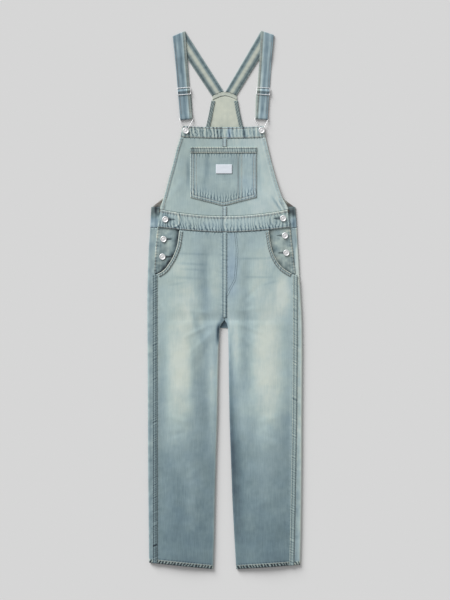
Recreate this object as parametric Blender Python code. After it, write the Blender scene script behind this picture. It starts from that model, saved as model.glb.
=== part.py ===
"""Bib overalls in washed denim, laid flat on a floor with the front upwards.

X runs across the garment, +Y runs from the leg hems to the shoulder folds, Z is up from the floor.
"left" and "right" are the sides as the garment lies, left at -X. Sizes are in millimetres, and u is
a distance out from the middle line, so that x = SIGN[side] * u.
"""

import math

import bmesh
import bpy
import numpy as np
from mathutils import Vector

MM = 0.001
SIGN = {"left": -1, "right": 1}

# Cloth
WALL = 1.2  # one layer of denim
BAND_WALL = 2.4  # a folded band, such as the waistband
STRAP_WALL = 2.0
SEAM = 0.3  # gap between two pieces that are sewn together
LAP_GAP = 0.35  # gap between a piece and what lies on it
LAYER = WALL + LAP_GAP  # rise from the middle of one layer to the middle of the next
FLOOR = WALL / 2  # middle of a layer that lies on the floor
FLAT_SNAP = 0.06  # an underside this near the floor rests on it

# Legs
HEM_Y = -765.5
HEM_DEPTH = 11.0
HEM_EXTRA = 1.3  # what the turned hem adds to the inside of the wall
HEM_RISE = {"left": 18.5, "right": 12.5}  # the outer corner of a hem lies higher up the leg
HEM_RISE_REACH = 200.0
ROLL = 3.6  # radius of the cloth's turn along the sides of a leg
EDGE = FLOOR + 2 * ROLL  # middle of the front layer where it leaves that turn
CROTCH_Y = -58.0
FELL_HALF = 6.4  # half the width of a flat-felled seam
DOME_POWER = 1.5
FLAT_STEP = 5.0  # width of the level strip beside the centre seam
WAIST_LEAN_Y = 130.0  # above this, the rows of the fronts bend towards the waist line

# Waist and sides
BACK_TOP_Y = 205.0
WAIST_LOW = {"middle": 192.5, "rise": 14.5, "reach": 190.0, "power": 1.8}
WAIST_HIGH = {"middle": 238.0, "rise": 19.0, "reach": 182.0, "power": 2.0}
WAISTBAND_END = {"left": 127.0, "right": 129.5}
TAB_LOW = {"left": 190.0, "right": 187.0}
TAB_HIGH = {"left": 182.5, "right": 179.0}
OPENING_Y = 74.0  # lowest point of the buttoned side opening
SINK_START_Y = 50.0
OPENING_SINK = 2 * LAYER + 0.15  # the back's button stand lies two layers under the front
STAND_EDGE = {"left": 184.0, "right": 179.5}  # edge of the button stand
POCKET_LAP = 15.0  # how far the side facing runs on under the front
RIM_WIDTH = 10.0  # the stitched edge of a pocket opening
RIM_TOP_Y = 195.5
RIM_END = 190.5  # how far out the rim runs

# Bib
BIB_LEVEL = 3.75  # middle of the bib where it lies on the back
BIB_FOOT_Y = 245.0
BIB_LEVEL_Y = 390.0
BIB_HEM = 8.0
BIB_HEM_EXTRA = 0.9
BAND_LOW_Y = 459.5
BAND_HIGH_Y = 491.5
BAND_RISE = 3.5
BAND_REACH = 120.0
MIDDLE_X = -0.4  # the centre seam of bib and front
BIB_POCKET = {"left": -98.0, "right": 91.0, "top": 435.3, "corner": 291.5, "point": 267.0, "point_x": -4.0}
POCKET_HEM_DEPTH = 17.5
LABEL = {"left": -25.0, "right": 21.0, "top": 385.5, "bottom": 359.5}
LABEL_WALL = 1.0

# Back yoke
BACK_CORNER_Y = 265.0  # where the turned sides end and the back narrows
YOKE_TOP_Y = 593.0
YOKE_HALF = 35.0
YOKE_DROP = 12.5
YOKE_POWER = 1.6
YOKE_BAND = 11.0
BACK_HEM = 11.0

# Straps and metal
FOLD_RADIUS = 1.35
WIRE = 1.0  # radius of the slider's bars
BUCKLE_WIRE = 0.9
BUCKLE_BEND = 12.0  # length over which the buckle turns from the strap's line to the button
CLEAR = 0.3
STRAP_HALF = 17.2
FOLD_SKEW = 80.0  # length over which the strap's ends turn from the fold line to square
LOOP_RADIUS = BUCKLE_WIRE + CLEAR + 0.2 + STRAP_WALL / 2
SLIDER_CORNER = 2.2
SLIDER_STRAP_Z = 3.55  # middle of the front run under the slider's lower bar
SLIDER_TOP_Y = 604.3
SLIDER_LOW_Y = 584.7
BUTTON_RADIUS = 8.9
BUTTON_WALL = 2.4
NECK_RADIUS = 3.9
SIDE_NECK = 0.9

DENIM = (0.37, 0.48, 0.49)
DEEP_DENIM = (0.16, 0.23, 0.27)
CREAM = (0.53, 0.55, 0.46)
WHITE = (0.84, 0.85, 0.88)
SILVER = (0.78, 0.78, 0.79)


def table(columns, *rows):
    """A short table as one array for each named column."""
    return dict(zip(columns.split(), np.array(rows, float).T))


OUTLINE = table(
    "y left right",
    (-766, 215.0, 215.0),
    (-684, 216.0, 217.0),
    (-570, 217.0, 218.5),
    (-456, 218.0, 219.5),
    (-342, 218.3, 220.0),
    (-228, 219.0, 220.8),
    (-114, 219.6, 221.0),
    (-57, 220.0, 220.0),
    (28, 219.8, 215.5),
    (68, 219.0, 213.0),
    (108, 218.0, 211.0),
    (148, 216.0, 208.5),
    (188, 213.0, 206.0),
    (228, 211.0, 204.0),
    (265, 209.0, 201.0),
)
INSIDE = table(
    "y left right",
    (-766, 33.0, 33.0),
    (-684, 30.0, 28.0),
    (-570, 28.0, 22.0),
    (-456, 25.0, 18.0),
    (-342, 21.0, 14.0),
    (-228, 19.0, 12.0),
    (-128, 17.0, 11.0),
    (-90, 15.5, 10.0),
    (-77, 13.5, 8.5),
    (-68, 9.5, 6.0),
    (-62, 4.5, 2.7),
    (-58, 0.55, -0.25),
    (600, 0.55, -0.25),
)
OUTSEAM = table(
    "y left right",
    (-766, 198.0, 190.5),
    (-570, 198.0, 194.5),
    (-342, 198.3, 198.5),
    (-114, 198.5, 200.5),
    (80, 198.5, 200.5),
)
POCKET_EDGE = table(
    "y left right",
    (72, 196.0, 196.0),
    (80, 180.0, 181.5),
    (88, 170.0, 169.0),
    (100, 161.0, 156.5),
    (117, 150.0, 145.0),
    (137, 141.0, 136.5),
    (154, 135.0, 132.0),
    (177, 131.0, 128.0),
    (200, 128.5, 125.0),
)
FACING_EDGE = table(
    "y left right",
    (62, 188.0, 188.0),
    (74, 197.4, 199.2),
    (78, 201.5, 200.8),
    (108, 200.0, 198.0),
    (142, 198.0, 194.0),
    (178, 194.7, 190.0),
    (206, 191.6, 187.5),
    (246, 183.8, 181.0),
)
BIB_EDGE = table(
    "y left right",
    (238, 184.5, 181.5),
    (265, 179.0, 173.0),
    (299, 171.0, 160.5),
    (342, 160.0, 147.0),
    (385, 148.0, 135.0),
    (428, 137.0, 124.0),
    (462, 126.0, 116.0),
    (496, 120.0, 111.0),
)
BACK_EDGE = table(
    "y left right",
    (265, 206.4, 198.4),
    (285, 182.0, 172.0),
    (328, 139.0, 132.0),
    (385, 99.0, 95.0),
    (442, 70.0, 69.0),
    (496, 53.0, 52.0),
    (542, 43.0, 42.0),
    (580, 35.5, 35.5),
)
# Height of the front layer at the middle line or at the top of the inner turn, and how far it domes.
LIFT = table(
    "y seam dome",
    (-766, 4.35, 4.0),
    (-600, 4.35, 4.8),
    (-300, 4.35, 5.8),
    (-120, 4.35, 5.8),
    (-72, 4.35, 5.6),
    (-58, 4.9, 5.4),
    (-50, 5.8, 5.2),
    (-40, 7.1, 5.0),
    (-28, 8.5, 4.8),
    (-10, 9.6, 4.4),
    (60, 10.2, 3.4),
    (140, 10.4, 2.6),
    (200, 9.8, 1.8),
    (260, 9.0, 1.2),
    (600, 9.0, 1.2),
)
# Rise of the back's middle line off the floor, where it meets the front at the crotch.
BACK_LIFT = table("y rise", (-72, 3.45), (-58, 2.9), (-50, 1.8), (-40, 0.7), (-30, 0.1), (-20, 0.0))
# Angle through which the cloth turns down at the inner side: none at the centre seam, 90 on a leg.
TURN = table(
    "y angle", (-72, 90), (-66, 75), (-62, 60), (-58, 38), (-50, 24), (-40, 10), (-30, 0)
)
# Soft folds: from and to, half width, height (a trough where it is below nought).
FOLDS = table(
    "x0 y0 x1 y1 half height",
    (-64, 170, -56, -210, 17, -1.7),
    (-18, -62, -104, -190, 15, 1.9),
    (-24, -20, -120, -70, 14, 1.2),
    (-128, -250, -66, -430, 20, -1.4),
    (-118, -470, -126, -740, 24, -1.1),
    (58, 170, 62, -230, 17, -1.6),
    (16, -64, 92, -160, 15, 1.6),
    (22, -18, 122, -60, 14, 1.1),
    (124, -260, 74, -440, 20, -1.3),
    (112, -480, 122, -740, 24, -1.1),
)
BIB_FOLDS = table(
    "x0 y0 x1 y1 half height",
    (108, 352, 176, 262, 9, 1.3),
    (84, 322, 160, 252, 9, 1.1),
    (-104, 360, -168, 272, 10, 0.9),
    (-112, 440, -128, 300, 12, 0.7),
    (104, 440, 120, 330, 12, 0.7),
)
BUTTONS = table(
    "side x y",
    (-1, -169, 229),
    (-1, -174, 173),
    (-1, -177, 123),
    (1, 166, 232),
    (1, 171.5, 183),
    (1, 175.5, 134),
)
BIB_BUTTON = {"left": (-110.5, 481.5), "right": (105.0, 482.5)}
# Each strap in plan: the two ends of its shoulder fold, and the middle of its lower end.
STRAP = {
    "left": {"fold": ((-147.6, 748.9), (-112.1, 763.9)), "end": (-109.2, 513.8)},
    "right": {"fold": ((139.6, 752.6), (102.7, 764.9)), "end": (104.6, 514.4)},
}
YOKE_STRAP = {"left": (35.6, 2.4), "right": (33.4, 2.4)}

HEM_ROWS = [HEM_Y, HEM_Y + HEM_DEPTH - 0.4, HEM_Y + HEM_DEPTH]
LEG_ROWS = HEM_ROWS + [-705, -640, -570, -500, -430, -360, -300, -245, -195, -150, -110, -84]
CROTCH_ROWS = [-72, -66, -62, CROTCH_Y, -50, -40, -28, -10]
HIP_ROWS = [12, 36, 56]
FRONT_ROWS = LEG_ROWS + CROTCH_ROWS + HIP_ROWS + [72, 80, 88, 100, 117, 137, 154, 174, 192.5]
BACK_ROWS = LEG_ROWS + CROTCH_ROWS + HIP_ROWS + [66, 73.5, 79.5, 110, 145, 175, BACK_TOP_Y - SEAM / 2]
BACK_BIB_ROWS = [BACK_TOP_Y + SEAM / 2, 225, 245, BACK_CORNER_Y]
BACK_BIB_ROWS += [272, 282, 294, 311, 328, 356, 385, 413, 442, 469, 496, 520, 545, 568]


def ease(t):
    """Nought to one with a level start and end."""
    t = min(max(t, 0.0), 1.0)
    return t * t * (3 - 2 * t)


def curve(rows, column, y):
    """The column's value at y on a smooth curve through the table's rows."""
    ys = rows["y"]
    values = rows[column]
    y = min(max(y, ys[0]), ys[-1])
    i = min(int(np.searchsorted(ys, y, side="right")) - 1, len(ys) - 2)
    slopes = np.gradient(values, ys)
    step = ys[i + 1] - ys[i]
    t = (y - ys[i]) / step
    start = (1 + 2 * t) * (1 - t) ** 2 * values[i] + t * (1 - t) ** 2 * step * slopes[i]
    return start + t * t * (3 - 2 * t) * values[i + 1] + t * t * (t - 1) * step * slopes[i + 1]


def straight(rows, column, y):
    return float(np.interp(y, rows["y"], rows[column]))


def fold_height(folds, x, y):
    """Sum of the soft folds at a point: each is a bell across its line and dies out at its ends."""
    along_x = folds["x1"] - folds["x0"]
    along_y = folds["y1"] - folds["y0"]
    length = np.hypot(along_x, along_y)
    t = ((x - folds["x0"]) * along_x + (y - folds["y0"]) * along_y) / length**2
    across = ((x - folds["x0"]) * along_y - (y - folds["y0"]) * along_x) / length
    inside = np.clip(t, 0, 1)
    bell = np.exp(-((across / folds["half"]) ** 2)) * np.sin(np.pi * inside) ** 1.2
    return float((folds["height"] * bell).sum())


def turn(y):
    return math.radians(straight(TURN, "angle", y))


def inner_side(side, y):
    """Distance out to the middle of the wall at the inseam, or at the centre seam."""
    return straight(INSIDE, side, y) + WALL / 2 * math.sin(turn(y))


def shoulder(side, y):
    """Distance out to where the front layer leaves the outer turn."""
    return curve(OUTLINE, side, y) - WALL / 2 - ROLL


def level_strip(angle):
    """Width of the level strip beside the middle line, which shrinks as the cloth turns down."""
    return FLAT_STEP * (1 - math.sin(angle))


def turn_top(side, y):
    """Distance out and height where the front layer starts to turn down to the inseam."""
    angle = turn(y)
    u = inner_side(side, y) + ROLL * math.sin(angle) + level_strip(angle)
    return u, straight(LIFT, "seam", y) + ROLL * (1 - math.cos(angle))


def front_height(side, u, y):
    """Middle of the front layer above the floor."""
    inner, level = turn_top(side, y)
    outer = shoulder(side, y)
    f = min(max((u - inner) / (outer - inner), 0.0), 1.0)
    dome = straight(LIFT, "dome", y) * math.sin(math.pi * f) ** DOME_POWER
    return level + (EDGE - level) * ease(f) + dome + fold_height(FOLDS, SIGN[side] * u, y)


def waist_line(line, x):
    return line["middle"] + line["rise"] * (abs(x) / line["reach"]) ** line["power"]


def leaned(side, u, y):
    """A leg row's true y: rows near the hem rise to the outer corner, and near the waist they follow it."""
    inner = straight(INSIDE, side, y)
    f = (u - inner) / (curve(OUTLINE, side, y) - inner)
    near_hem = ease((HEM_Y + HEM_RISE_REACH - y) / HEM_RISE_REACH)
    return y + HEM_RISE[side] * f * near_hem


def placed(side, rows):
    """Rows of (u, y, z) as a grid of points whose normals face out of the garment on either side."""
    grid = np.array(rows, float)
    grid[..., 0] *= SIGN[side]
    return grid[:, ::-1] if side == "left" else grid


def bisected(grid, axis):
    """Unit directions along one axis of the grid, and the cosine of half the bend at each point."""
    steps = np.diff(grid, axis=axis)
    steps /= np.linalg.norm(steps, axis=2, keepdims=True)
    steps = np.moveaxis(steps, axis, 0)
    mean = (steps[:-1] + steps[1:]) / 2
    cosine = np.linalg.norm(mean, axis=2, keepdims=True)
    mean = mean / cosine
    ends = []
    for chord, beside in ((steps[0], mean[0]), (steps[-1], mean[-1])):
        # the wall ends square to an arc: its end bends away from the last step as much as the point before
        share = (chord * beside).sum(axis=1, keepdims=True)
        ends.append((2 * share * chord - beside)[None])
    mean = np.concatenate([ends[0], mean, ends[1]])
    cosine = np.concatenate([cosine[:1], cosine, cosine[-1:]])
    return np.moveaxis(mean, 0, axis), np.moveaxis(cosine, 0, axis)


def material(name, colour, roughness, metallic):
    made = bpy.data.materials.new(name)
    made.use_nodes = True
    shader = made.node_tree.nodes["Principled BSDF"]
    shader.inputs["Base Color"].default_value = (*colour, 1)
    shader.inputs["Roughness"].default_value = roughness
    shader.inputs["Metallic"].default_value = metallic
    return made


def add_object(name, vertices, faces, look, smooth=False):
    """A mesh object whose origin is the middle of its own box."""
    points = np.array(vertices, float) * MM
    centre = (points.min(axis=0) + points.max(axis=0)) / 2
    mesh = bpy.data.meshes.new(name)
    mesh.from_pydata((points - centre).tolist(), [], faces)
    body = bmesh.new()
    body.from_mesh(mesh)
    loose = [vertex for vertex in body.verts if not vertex.link_faces]
    bmesh.ops.delete(body, geom=loose, context="VERTS")
    bmesh.ops.recalc_face_normals(body, faces=body.faces)
    for face in body.faces:
        face.smooth = smooth
    body.to_mesh(mesh)
    body.free()
    mesh.materials.append(material(name, *look))
    obj = bpy.data.objects.new(name, mesh)
    obj.location = centre
    bpy.context.scene.collection.objects.link(obj)
    return obj


def cloth(name, grid, look, outside=WALL / 2, inside=WALL / 2, leave_out=lambda v, u: False):
    """A closed wall around a grid of middle points; outside and inside may differ from point to point."""
    grid = np.array(grid, float)
    count_v, count_u = grid.shape[:2]
    along_v, cosine_v = bisected(grid, 0)
    along_u, cosine_u = bisected(grid, 1)
    normal = np.cross(along_v, along_u)
    normal /= np.linalg.norm(normal, axis=2, keepdims=True) * cosine_v * cosine_u
    outside = np.broadcast_to(outside, (count_v, count_u))[..., None]
    inside = np.broadcast_to(inside, (count_v, count_u))[..., None]
    over = (grid + normal * outside).reshape(-1, 3)
    below = (grid - normal * inside).reshape(-1, 3)
    vertices = np.concatenate([over, below])
    vertices[:, 2] = np.where(vertices[:, 2] < FLAT_SNAP, 0.0, vertices[:, 2])
    under = count_v * count_u
    faces = []
    rim = set()
    for v in range(count_v - 1):
        for u in range(count_u - 1):
            if leave_out(v, u):
                continue
            a = v * count_u + u
            quad = (a, a + 1, a + count_u + 1, a + count_u)
            faces.append(quad)
            faces.append(tuple(i + under for i in reversed(quad)))
            for start, end in zip(quad, quad[1:] + quad[:1]):
                if (end, start) in rim:
                    rim.remove((end, start))
                else:
                    rim.add((start, end))
    faces += [(b, a, a + under, b + under) for a, b in sorted(rim)]
    return add_object(name, vertices, faces, look, smooth=True)


def tube(name, centres, radius, look, sides=8, closed=True):
    """A round bar swept along a closed path of points, or an open one with flat ends."""
    path = [Vector(point) for point in centres]
    count = len(path)
    vertices = []
    for i, centre in enumerate(path):
        before = path[i - 1] if closed or i > 0 else path[i]
        after = path[(i + 1) % count] if closed or i < count - 1 else path[i]
        forward = (after - before).normalized()
        across = forward.cross(Vector((0, 0, 1))).normalized()
        upward = across.cross(forward)
        for k in range(sides):
            angle = 2 * math.pi * (k + 0.5) / sides
            vertices.append(centre + radius * (across * math.cos(angle) + upward * math.sin(angle)))
    faces = []
    for i in range(count if closed else count - 1):
        for k in range(sides):
            a = i * sides + k
            b = i * sides + (k + 1) % sides
            c = (i + 1) % count * sides + (k + 1) % sides
            d = (i + 1) % count * sides + k
            faces.append((a, b, c, d))
    if not closed:
        faces.append(tuple(range(sides)))
        faces.append(tuple((count - 1) * sides + k for k in range(sides)))
    return add_object(name, vertices, faces, look, smooth=True)


def turned(name, x, y, base, profile, look, segments=18):
    """A body of revolution about a vertical line, from (radius, height) pairs that start and end on it."""
    vertices = [(x, y, base + profile[0][1])]
    for radius, height in profile[1:-1]:
        for k in range(segments):
            angle = 2 * math.pi * k / segments
            vertices.append((x + radius * math.cos(angle), y + radius * math.sin(angle), base + height))
    vertices.append((x, y, base + profile[-1][1]))
    rings = len(profile) - 2
    faces = []
    for k in range(segments):
        after = (k + 1) % segments
        faces.append((0, 1 + after, 1 + k))
        for ring in range(rings - 1):
            a = 1 + ring * segments
            b = a + segments
            faces.append((a + k, a + after, b + after, b + k))
        top = 1 + (rings - 1) * segments
        faces.append((top + k, top + after, len(vertices) - 1))
    return add_object(name, vertices, faces, look, smooth=True)


DENIM_LOOK = (DENIM, 0.9, 0.0)
DEEP_LOOK = (DEEP_DENIM, 0.9, 0.0)
CREAM_LOOK = (CREAM, 0.92, 0.0)
METAL_LOOK = (SILVER, 0.3, 1.0)


def opening_sink(y):
    """How far the back's edge lies under the front: nothing on the leg, two layers at the side opening."""
    return OPENING_SINK * ease((y - SINK_START_Y) / (OPENING_Y - 0.5 - SINK_START_Y))


def outer_turn(side, y):
    """Points of the back layer from the floor round the outer side: floor, three on the turn, its top."""
    top = EDGE - opening_sink(y)
    radius = (top - FLOOR) / 2
    centre = curve(OUTLINE, side, y) - WALL / 2 - radius
    points = []
    for degrees in (-90, -45, 0, 45, 90):
        angle = math.radians(degrees)
        points.append((centre + radius * math.cos(angle), FLOOR + radius + radius * math.sin(angle)))
    return points


def back_wrap_edge(side, y):
    """Distance out to the edge of the back where it lies on top: the outseam, or the button stand."""
    if y < OPENING_Y:
        return straight(OUTSEAM, side, y) + SEAM / 2
    return STAND_EDGE[side]


def make_back_leg(side):
    rows = []
    for y in BACK_ROWS:
        angle = turn(y)
        boundary = inner_side(side, y)
        top = FLOOR + straight(BACK_LIFT, "rise", y)
        radius = ROLL - SEAM / 2
        section = []
        for share in (1.0, 0.5, 0.0):
            bend = angle * share
            u = boundary + radius * (math.sin(angle) - math.sin(bend)) + level_strip(angle) * (1 - share)
            section.append((u, top - radius * (math.cos(bend) - math.cos(angle))))
        wrap = outer_turn(side, y)
        start = section[-1]
        end = wrap[0]
        for share in (0.2, 0.5, 0.8):
            section.append((start[0] + (end[0] - start[0]) * share, FLOOR))
        section += wrap
        edge = back_wrap_edge(side, y)
        if y < OPENING_Y:
            between = straight(OUTSEAM, side, y) + FELL_HALF
        else:
            between = (wrap[-1][0] + edge) / 2
        for u in (between, edge):
            section.append((u, front_height(side, u, y) - opening_sink(y)))
        rows.append([(u, leaned(side, u, y), z) for u, z in section])
    grid = placed(side, rows)
    inside = np.full(grid.shape[:2], WALL / 2)
    inside[:2] += HEM_EXTRA
    cloth(f"back_leg_{side}", grid, DENIM_LOOK, inside=inside)


def front_edge(side, y):
    if y < 60:
        return straight(OUTSEAM, side, y) - SEAM / 2
    return curve(POCKET_EDGE, side, y)


def make_front_leg(side):
    rows = []
    for y in FRONT_ROWS:
        edge = front_edge(side, y)
        angle = turn(y)
        inner, level = turn_top(side, y)
        near_waist = ease((y - WAIST_LEAN_Y) / (FRONT_ROWS[-1] - WAIST_LEAN_Y))
        us = [edge] + list(np.linspace(edge - FELL_HALF + SEAM / 2, inner, 10))
        section = [(u, front_height(side, u, y)) for u in us]
        for share in (0.5, 1.0):
            bend = angle * share
            u = inner_side(side, y) + ROLL * (math.sin(angle) - math.sin(bend))
            u += level_strip(angle) * (1 - share)
            section.append((u, level - ROLL * (1 - math.cos(bend))))
        row = []
        for u, z in section:
            rise = near_waist * (waist_line(WAIST_LOW, u) - WAIST_LOW["middle"] - SEAM / 2)
            row.append((u, leaned(side, u, y) + rise, z))
        rows.append(row)
    grid = placed(side, rows)
    inside = np.full(grid.shape[:2], WALL / 2)
    inside[:2] += HEM_EXTRA
    cloth(f"front_leg_{side}", grid, DENIM_LOOK, inside=inside)


def make_outseam(side):
    """The flat-felled seam that lies over the join of front and back."""
    rows = []
    for y in [y for y in FRONT_ROWS if y < OPENING_Y]:
        seam = straight(OUTSEAM, side, y)
        us = (seam + FELL_HALF, seam, seam - FELL_HALF)
        rows.append([(u, leaned(side, u, y), front_height(side, u, y) + LAYER) for u in us])
    cloth(f"outseam_{side}", placed(side, rows), DENIM_LOOK)


def make_centre_seam():
    rows = []
    for y in [y for y in FRONT_ROWS if y >= -50]:
        y_top = min(y, WAIST_LOW["middle"] - 2 * SEAM)
        z = straight(LIFT, "seam", y) + ROLL * (1 - math.cos(turn(y))) + LAYER
        rows.append([(MIDDLE_X + step, y_top, z) for step in (FELL_HALF - 0.3, 0, 0.3 - FELL_HALF)])
    cloth("centre_seam", rows, DENIM_LOOK)


def make_facing(side):
    """The side front that shows in the pocket opening and carries the buttonholes."""
    rows = []
    for y in (62, 68, 74, 78, 92, 108, 125, 142, 160, 178, 195, 212, 229, 245):
        outer = straight(FACING_EDGE, side, y)
        inner = curve(POCKET_EDGE, side, y) - POCKET_LAP
        us = np.linspace(outer, min(inner, outer - 8), 6)
        rows.append([(u, y, front_height(side, u, y) - LAYER) for u in us])
    cloth(f"side_facing_{side}", placed(side, rows), DENIM_LOOK)


def pocket_path(side, count):
    """Evenly spaced points along the pocket opening, with the direction into the front."""
    ys = np.linspace(POCKET_EDGE["y"][0], RIM_TOP_Y, 200)
    us = np.array([curve(POCKET_EDGE, side, y) for y in ys])
    keep = us <= RIM_END
    ys = ys[keep]
    us = us[keep]
    run = np.concatenate([[0], np.cumsum(np.hypot(np.diff(us), np.diff(ys)))])
    stations = np.linspace(0, run[-1], count)
    u = np.interp(stations, run, us)
    y = np.interp(stations, run, ys)
    slope_u = np.gradient(u, stations)
    slope_y = np.gradient(y, stations)
    length = np.hypot(slope_u, slope_y)
    return zip(u, y, -slope_y / length, slope_u / length)


def make_pocket_rim(side):
    rows = []
    for u, y, into_u, into_y in pocket_path(side, 15):
        row = []
        for step in (0, RIM_WIDTH / 2, RIM_WIDTH):
            at_u = u + into_u * step
            at_y = y + into_y * step
            row.append((at_u, at_y, front_height(side, at_u, at_y) + LAYER))
        rows.append(row)
    cloth(f"pocket_rim_{side}", placed(side, rows), DENIM_LOOK)


def make_waistband():
    rise = (BAND_WALL - WALL) / 2
    rows = []
    for share in (0.0, 0.5, 1.0):
        row = []
        for x in np.linspace(WAISTBAND_END["right"], -WAISTBAND_END["left"], 23):
            side = "left" if x < 0 else "right"
            low = waist_line(WAIST_LOW, x) + SEAM / 2
            high = waist_line(WAIST_HIGH, x) - SEAM / 2
            y = low + (high - low) * share
            row.append((x, y, front_height(side, abs(x), y) + rise))
        rows.append(row)
    cloth("waistband", rows, DENIM_LOOK, BAND_WALL / 2, BAND_WALL / 2)
    for side in SIGN:
        rows = []
        for share in (0.0, 0.5, 1.0):
            outer = TAB_LOW[side] + (TAB_HIGH[side] - TAB_LOW[side]) * share
            row = []
            for u in np.linspace(outer, WAISTBAND_END[side] + SEAM, 6):
                low = waist_line(WAIST_LOW, u) + SEAM / 2
                high = waist_line(WAIST_HIGH, u) - SEAM / 2
                y = low + (high - low) * share
                row.append((u, y, front_height(side, u, y) + rise))
            rows.append(row)
        cloth(f"waist_tab_{side}", placed(side, rows), DENIM_LOOK, BAND_WALL / 2, BAND_WALL / 2)


def bib_height(x, y):
    """Middle of the bib: level with the waistband at its foot, lying on the back towards its top."""
    side = "left" if x < 0 else "right"
    foot = front_height(side, abs(x), BIB_FOOT_Y)
    fall = ease((y - BIB_FOOT_Y) / (BIB_LEVEL_Y - BIB_FOOT_Y))
    return foot + (BIB_LEVEL - foot) * fall + max(fold_height(BIB_FOLDS, x, y), 0.0)


def band_line(level, x):
    return level + BAND_RISE * (abs(x) / BAND_REACH) ** 2


def make_bib(side):
    rows = []
    for y in (238, 250, 264, 280, 298, 318, 340, 362, 385, 410, 435, BAND_LOW_Y):
        edge = curve(BIB_EDGE, side, y)
        inner = SIGN[side] * MIDDLE_X + SEAM / 2
        us = [edge, edge - BIB_HEM, edge - BIB_HEM - 0.5] + list(np.linspace(edge - 24, inner, 7))
        near_foot = ease((300 - y) / 62)
        near_band = ease((y - 400) / (BAND_LOW_Y - 400))
        row = []
        for u in us:
            rise = near_foot * (waist_line(WAIST_HIGH, u) - WAIST_HIGH["middle"] + SEAM / 2)
            rise += near_band * (band_line(0, u) - SEAM / 2)
            row.append((u, y + rise, bib_height(SIGN[side] * u, y + rise)))
        rows.append(row)
    grid = placed(side, rows)
    outside = np.full(grid.shape[:2], WALL / 2)
    hem = slice(-2, None) if side == "left" else slice(0, 2)
    outside[:, hem] += BIB_HEM_EXTRA
    cloth(f"bib_{side}", grid, DENIM_LOOK, outside=outside)


def make_bib_seams():
    """The felled centre seam where it shows, above and below the pocket."""
    ranges = {
        "upper": (BIB_POCKET["top"] + 1.0, BAND_LOW_Y - SEAM),
        "lower": (WAIST_HIGH["middle"] + SEAM, BIB_POCKET["point"] - 1.0),
    }
    for name, (low, high) in ranges.items():
        rows = []
        for y in np.linspace(low, high, 4):
            xs = [MIDDLE_X + step for step in (FELL_HALF - 0.3, 0, 0.3 - FELL_HALF)]
            rows.append([(x, y, bib_height(x, y) + LAYER) for x in xs])
        cloth(f"bib_seam_{name}", rows, DENIM_LOOK)


def make_bib_band():
    rise = (BAND_WALL - WALL) / 2
    rows = []
    for share in (0.0, 0.5, 1.0):
        y_middle = BAND_LOW_Y + SEAM / 2 + (BAND_HIGH_Y - BAND_LOW_Y) * share
        left = curve(BIB_EDGE, "left", y_middle + BAND_RISE)
        right = curve(BIB_EDGE, "right", y_middle + BAND_RISE)
        xs = np.linspace(right, -left, 17)
        rows.append([(x, band_line(y_middle, x), bib_height(x, y_middle) + rise) for x in xs])
    cloth("bib_band", rows, DENIM_LOOK, BAND_WALL / 2, BAND_WALL / 2)


def pocket_bottom(x):
    away = abs(x - BIB_POCKET["point_x"])
    reach = BIB_POCKET["right"] - BIB_POCKET["point_x"]
    return BIB_POCKET["point"] + (BIB_POCKET["corner"] - BIB_POCKET["point"]) * away / reach


def make_bib_pocket():
    xs = list(np.linspace(BIB_POCKET["right"], BIB_POCKET["point_x"], 6))
    xs += list(np.linspace(BIB_POCKET["point_x"], BIB_POCKET["left"], 6))[1:]
    hem_y = BIB_POCKET["top"] - POCKET_HEM_DEPTH
    rows = []
    for share in np.linspace(0, 1, 8):
        row = []
        for x in xs:
            low = pocket_bottom(x)
            y = low + (hem_y - SEAM - low) * share
            row.append((x, y, bib_height(x, y) + LAYER))
        rows.append(row)
    cloth("bib_pocket", rows, DENIM_LOOK)
    rise = (BAND_WALL - WALL) / 2
    rows = [
        [(x, y, bib_height(x, y) + LAYER + rise) for x in xs]
        for y in (hem_y, hem_y + POCKET_HEM_DEPTH / 2, BIB_POCKET["top"])
    ]
    cloth("bib_pocket_hem", rows, DENIM_LOOK, BAND_WALL / 2, BAND_WALL / 2)
    over_pocket = LAYER + WALL / 2 + LAP_GAP + 0.1 + LABEL_WALL / 2
    rows = []
    for y in np.linspace(LABEL["bottom"], LABEL["top"], 4):
        xs = np.linspace(LABEL["right"], LABEL["left"], 4)
        rows.append([(x, y, bib_height(x, y) + over_pocket) for x in xs])
    cloth("pocket_label", rows, (WHITE, 0.7, 0.0), LABEL_WALL / 2, LABEL_WALL / 2)


def yoke_arch(x):
    return YOKE_TOP_Y - YOKE_DROP * min(abs(x) / YOKE_HALF, 1.2) ** YOKE_POWER


def make_back_bib():
    """The back above the waist, with the sides that turn up and over to carry the buttons."""
    rows = []
    for y in BACK_BIB_ROWS:
        ends = {}
        for side in SIGN:
            wrap = outer_turn(side, y)
            if y > BACK_CORNER_Y:
                wrap[0] = (curve(BACK_EDGE, side, y), FLOOR)
            top_u, top_z = wrap[-1]
            stand = back_wrap_edge(side, y)
            wrap.append(((top_u + stand) / 2, top_z))
            wrap.append((stand, front_height(side, stand, min(y, BIB_FOOT_Y)) - opening_sink(y)))
            ends[side] = wrap
        rows.append(back_row(ends, y))
    turned_rows = sum(y < BACK_CORNER_Y for y in BACK_BIB_ROWS)
    side_cells = len(ends["left"]) - 1
    all_cells = len(rows[0]) - 1

    def beside_edge(v, u):
        return v >= turned_rows and (u < side_cells or u >= all_cells - side_cells)

    cloth("back_bib", rows, CREAM_LOOK, leave_out=beside_edge)


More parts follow.
